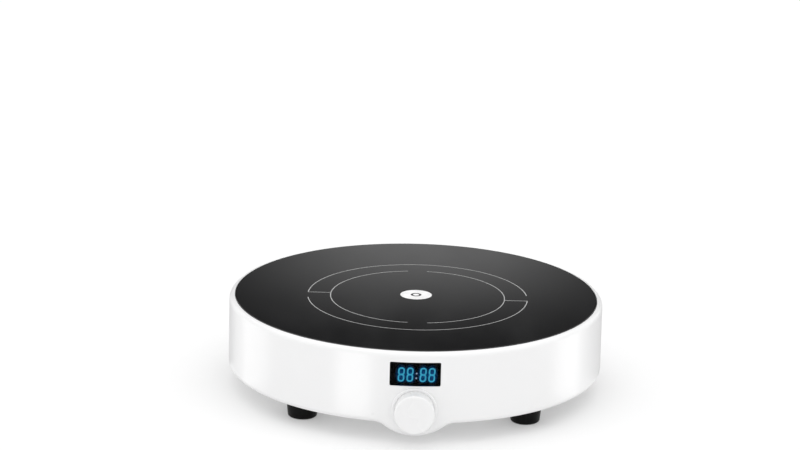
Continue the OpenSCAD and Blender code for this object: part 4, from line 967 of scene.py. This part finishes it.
def finish_fan():
    finish(moulded("black_plastic_fan", (0.018, 0.018, 0.019), 0.42, grain=700.0), "fan_frame", "fan_rotor")
    finish(drawn_metal("bronze_sintered", (0.45, 0.29, 0.14), 0.4, 900.0, (1.0, 1.0, 0.2)), "fan_bearing")
    finish(drawn_metal("laminated_steel_stack", (0.42, 0.42, 0.43), 0.4, 1100.0, (0.06, 0.06, 1.0)),
           "fan_stator")
    finish(moulded("red_wire_skin", (0.55, 0.02, 0.015), 0.38, grain=800.0), "fan_cable")


def finish_coil():
    finish(moulded("ivory_coil_former", (0.70, 0.67, 0.58), 0.48, grain=700.0), "coil_former")
    finish(drawn_metal("copper_litz", (0.75, 0.30, 0.13), 0.36, 1400.0, (1.0, 1.0, 1.0), depth=0.05 * MM),
           "coil_winding")
    finish(moulded("ferrite_dark", (0.05, 0.052, 0.055), 0.55, grain=1300.0, tone=0.15), "ferrite_bars",
           "thermistor")
    finish(moulded("mica_sheet_flakes", (0.60, 0.52, 0.38), 0.34, grain=400.0, tone=0.14), "insulation_sheet")
    finish(moulded("white_wire_skin", (0.74, 0.74, 0.72), 0.4, grain=800.0), "thermistor_leads")


# ---- Stage ----

def make_floor(s):
    bm = bmesh.new()
    bmesh.ops.create_circle(bm, cap_ends=True, segments=SMALL_STEPS, radius=14.0)
    floor = new_object("studio_floor", mesh_of("studio_floor", bm))
    material, tree, shader, vector = start_material("floor_pale")
    cloud = clouding(tree, vector, 1.5)
    give(tree, shader, Base_Color=varied(tree, cloud, s.floor, 0.997, 1.003),
         Roughness=0.9, Specular_IOR_Level=0.0, Emission_Color=(1, 1, 1, 1), Emission_Strength=s.glow)
    floor.data.materials.append(material)


def make_sky():
    """An even pale dome with a dark screen opposite the camera and a faint light at the screen's foot."""
    screen_half, screen_side = radians(20), radians(34)
    screen_top, screen_end = sin(radians(34)), sin(radians(48))
    glow_top, glow_end = sin(radians(16.25)), sin(radians(17.9))
    glow_bearing, glow_half, glow_side = radians(0.45), radians(0.3), radians(4.0)
    glow_level, dark_level = 0.60, 0.035
    dome_low, dome_high, side_level, top_level = 0.45, 0.95, 0.98, 1.55
    world = bpy.data.worlds.new("studio_sky")
    bpy.context.scene.world = world
    world.use_nodes = True
    tree = world.node_tree
    tree.nodes.clear()
    coords = add_node(tree, "TexCoord", (-1400, 0))
    axes = add_node(tree, "SeparateXYZ", (-1200, 0), {"Vector": coords.outputs["Generated"]}).outputs

    def ramp(value, start, end, low, high):
        return ranged(tree, value, start, end, low, high, interpolation_type="SMOOTHSTEP")

    bearing = compute(tree, "ARCTAN2", axes["X"], axes["Y"])
    off_axis = compute(tree, "ABSOLUTE", bearing)
    off_glow = compute(tree, "ABSOLUTE", compute(tree, "SUBTRACT", bearing, glow_bearing))
    dome = ramp(axes["Z"], dome_low, dome_high, side_level, top_level)
    screen = compute(tree, "MULTIPLY", ramp(off_axis, screen_half, screen_side, 1.0, 0.0),
                     ramp(axes["Z"], screen_top, screen_end, 1.0, 0.0))
    glow = compute(tree, "MULTIPLY", ramp(axes["Z"], glow_top, glow_end, glow_level, 0.0),
                   ramp(off_glow, glow_half, glow_side, 1.0, 0.0))
    dark = compute(tree, "ADD", glow, dark_level)
    open_share = compute(tree, "SUBTRACT", 1.0, screen)
    level = compute(tree, "ADD", compute(tree, "MULTIPLY", dome, open_share),
                    compute(tree, "MULTIPLY", dark, screen))
    back = add_node(tree, "Background", (200, 0), {"Strength": level, "Color": (1, 1, 1, 1)})
    add_node(tree, "OutputWorld", (400, 0), {"Surface": back.outputs["Background"]})


def only_reflected(piece, *ways):
    """Hides a lamp or card from the camera and from matt surfaces, so that only gloss shows it."""
    for way in ("camera", "diffuse", *ways):
        setattr(piece, "visible_" + way, False)


def beside_wall(wall_bearing):
    """Place and facing of an upright panel that the wall mirrors at one bearing, below the glass."""
    wall, out = radians(wall_bearing), radians(2 * wall_bearing)
    direction = Vector((sin(out), -cos(out), 0))
    foot = Vector((DRUM_RADIUS * sin(wall), DRUM_Y - DRUM_RADIUS * cos(wall), DRUM_TOP / 2))
    return foot + direction * PANEL_REACH, (-direction).to_track_quat("-Z", "Y").to_euler()


def make_strips():
    """Soft lamps close to the object that only its glossy wall mirrors, each as an upright band."""
    for name, wall_bearing, width, level in (("strip_front", -18.5, 0.045, 2.2),
                                             ("strip_left", -57, 0.045, 1.0), ("strip_right", 53, 0.04, 1.5)):
        lamp = bpy.data.lights.new(name, "AREA")
        lamp.shape = "RECTANGLE"
        lamp.size, lamp.size_y = width, PANEL_HEIGHT
        lamp.energy = level * width * PANEL_HEIGHT * pi
        piece = new_object(name, lamp)
        piece.location, piece.rotation_euler = beside_wall(wall_bearing)
        only_reflected(piece)


def make_cards():
    """Grey upright cards that only the grazing edges of the glossy wall mirror."""
    material, tree, shader, vector = start_material("card_grey")
    cloud = clouding(tree, vector, 4.0)
    give(tree, shader, Emission_Color=shade_between(tree, cloud, (0.94, 0.94, 0.94), (1, 1, 1)),
         Emission_Strength=0.4, Base_Color=(0, 0, 0, 1))
    for name, wall_bearing, width in (("card_left", -83, 0.05), ("card_right", 77, 0.07)):
        card = new_object(name, mesh_of(name, flat_plane(width, PANEL_HEIGHT)))
        card.location, card.rotation_euler = beside_wall(wall_bearing)
        card.data.materials.append(material)
        only_reflected(card, "transmission", "shadow")


def make_camera(s):
    data = bpy.data.cameras.new("camera")
    data.lens = s.lens
    data.sensor_width = 36.0
    data.clip_end = 100.0
    camera = new_object("camera", data)
    centre = Vector((0, DRUM_Y, GLASS_HIGH.z))
    away = Vector((sin(s.bearing) * cos(s.elevation), -cos(s.bearing) * cos(s.elevation), sin(s.elevation)))
    look = (-away).to_track_quat("-Z", "Y").to_matrix()
    aim = Matrix.Rotation(s.pan, 3, "Y") @ Matrix.Rotation(s.tilt, 3, "X") @ Matrix.Rotation(s.roll, 3, "Z")
    camera.matrix_world = Matrix.Translation(centre + away * s.distance) @ (look @ aim).to_4x4()
    bpy.context.scene.camera = camera
    bpy.context.scene.view_settings.view_transform = "Standard"


# ---- Operators ----

class CookOperator:
    """What all operators of the cooktop share."""
    bl_options = {"REGISTER", "UNDO"}


class COOKTOP_OT_stage(CookOperator, Operator):
    """Set up the floor, the sky, the lamps and the camera"""
    bl_idname = "cooktop.stage"
    bl_label = "Studio"

    def execute(self, context):
        make_floor(context.scene.cooktop_stage)
        make_sky()
        make_strips()
        make_cards()
        make_camera(context.scene.cooktop_stage)
        return {"FINISHED"}


class COOKTOP_OT_housing(CookOperator, Operator):
    """Model the round white housing with its chin, window, knob ring and cooling slots"""
    bl_idname = "cooktop.housing"
    bl_label = "Housing"

    def execute(self, context):
        make_housing(context.scene.cooktop_housing)
        return {"FINISHED"}


class COOKTOP_OT_glass(CookOperator, Operator):
    """Model the glass plate and its printed marks"""
    bl_idname = "cooktop.glass"
    bl_label = "Glass"

    def execute(self, context):
        make_glass(context.scene.cooktop_glass)
        return {"FINISHED"}


class COOKTOP_OT_display(CookOperator, Operator):
    """Model the smoked lens and the lit digits behind it"""
    bl_idname = "cooktop.display"
    bl_label = "Display"

    def execute(self, context):
        make_lens(context.scene.cooktop_display)
        make_digits(context.scene.cooktop_display)
        return {"FINISHED"}


class COOKTOP_OT_knob(CookOperator, Operator):
    """Model the turning knob"""
    bl_idname = "cooktop.knob"
    bl_label = "Knob"

    def execute(self, context):
        make_knob(context.scene.cooktop_knob)
        return {"FINISHED"}


class COOKTOP_OT_feet(CookOperator, Operator):
    """Model the four rubber feet"""
    bl_idname = "cooktop.feet"
    bl_label = "Feet"

    def execute(self, context):
        make_feet(context.scene.cooktop_foot)
        return {"FINISHED"}


class COOKTOP_OT_gland(CookOperator, Operator):
    """Model the rubber gland of the cord's inlet"""
    bl_idname = "cooktop.gland"
    bl_label = "Cord Gland"

    def execute(self, context):
        make_gland(context.scene.cooktop_gland)
        return {"FINISHED"}


class COOKTOP_OT_base(CookOperator, Operator):
    """Finish the base, the screws and the seals"""
    bl_idname = "cooktop.base"
    bl_label = "Base Finishes"

    def execute(self, context):
        finish_base()
        return {"FINISHED"}


class COOKTOP_OT_electronics(CookOperator, Operator):
    """Finish the boards and the parts on them"""
    bl_idname = "cooktop.electronics"
    bl_label = "Electronics Finishes"

    def execute(self, context):
        finish_electronics()
        return {"FINISHED"}


class COOKTOP_OT_encoder(CookOperator, Operator):
    """Finish the rotary encoder behind the knob"""
    bl_idname = "cooktop.encoder"
    bl_label = "Encoder Finishes"

    def execute(self, context):
        finish_encoder()
        return {"FINISHED"}


class COOKTOP_OT_fan(CookOperator, Operator):
    """Finish the cooling fan"""
    bl_idname = "cooktop.fan"
    bl_label = "Fan Finishes"

    def execute(self, context):
        finish_fan()
        return {"FINISHED"}


class COOKTOP_OT_coil(CookOperator, Operator):
    """Finish the induction coil and the parts around it"""
    bl_idname = "cooktop.coil"
    bl_label = "Coil Finishes"

    def execute(self, context):
        finish_coil()
        return {"FINISHED"}


SETTINGS = {
    "cooktop_stage": StageSettings,
    "cooktop_housing": HousingSettings,
    "cooktop_glass": GlassSettings,
    "cooktop_display": DisplaySettings,
    "cooktop_knob": KnobSettings,
    "cooktop_foot": FootSettings,
    "cooktop_gland": GlandSettings,
}

OPERATORS = (
    COOKTOP_OT_stage, COOKTOP_OT_housing, COOKTOP_OT_glass, COOKTOP_OT_display, COOKTOP_OT_knob,
    COOKTOP_OT_feet, COOKTOP_OT_gland, COOKTOP_OT_base, COOKTOP_OT_electronics, COOKTOP_OT_encoder,
    COOKTOP_OT_fan, COOKTOP_OT_coil)


class COOKTOP_PT_panel(Panel):
    """Settings and pieces of the cooktop"""
    bl_idname = "COOKTOP_PT_panel"
    bl_label = "Induction Cooktop"
    bl_space_type = "VIEW_3D"
    bl_region_type = "UI"
    bl_category = "Cooktop"

    def draw(self, context):
        layout = self.layout
        for name, group in SETTINGS.items():
            box = layout.box()
            box.label(text=name.split("_")[1].title())
            for label in group.__annotations__:
                box.prop(getattr(context.scene, name), label)
        for operator in OPERATORS:
            layout.operator(operator.bl_idname)


def register():
    for group in SETTINGS.values():
        bpy.utils.register_class(group)
    for name, group in SETTINGS.items():
        setattr(bpy.types.Scene, name, PointerProperty(type=group))
    for operator in OPERATORS:
        bpy.utils.register_class(operator)
    bpy.utils.register_class(COOKTOP_PT_panel)


def unregister():
    bpy.utils.unregister_class(COOKTOP_PT_panel)
    for operator in reversed(OPERATORS):
        bpy.utils.unregister_class(operator)
    for name, group in SETTINGS.items():
        delattr(bpy.types.Scene, name)
        bpy.utils.unregister_class(group)


def main():
    register()
    for operator in OPERATORS:
        getattr(bpy.ops.cooktop, operator.bl_idname.split(".")[1])()
    bpy.context.view_layer.update()


if __name__ == "__main__":
    main()
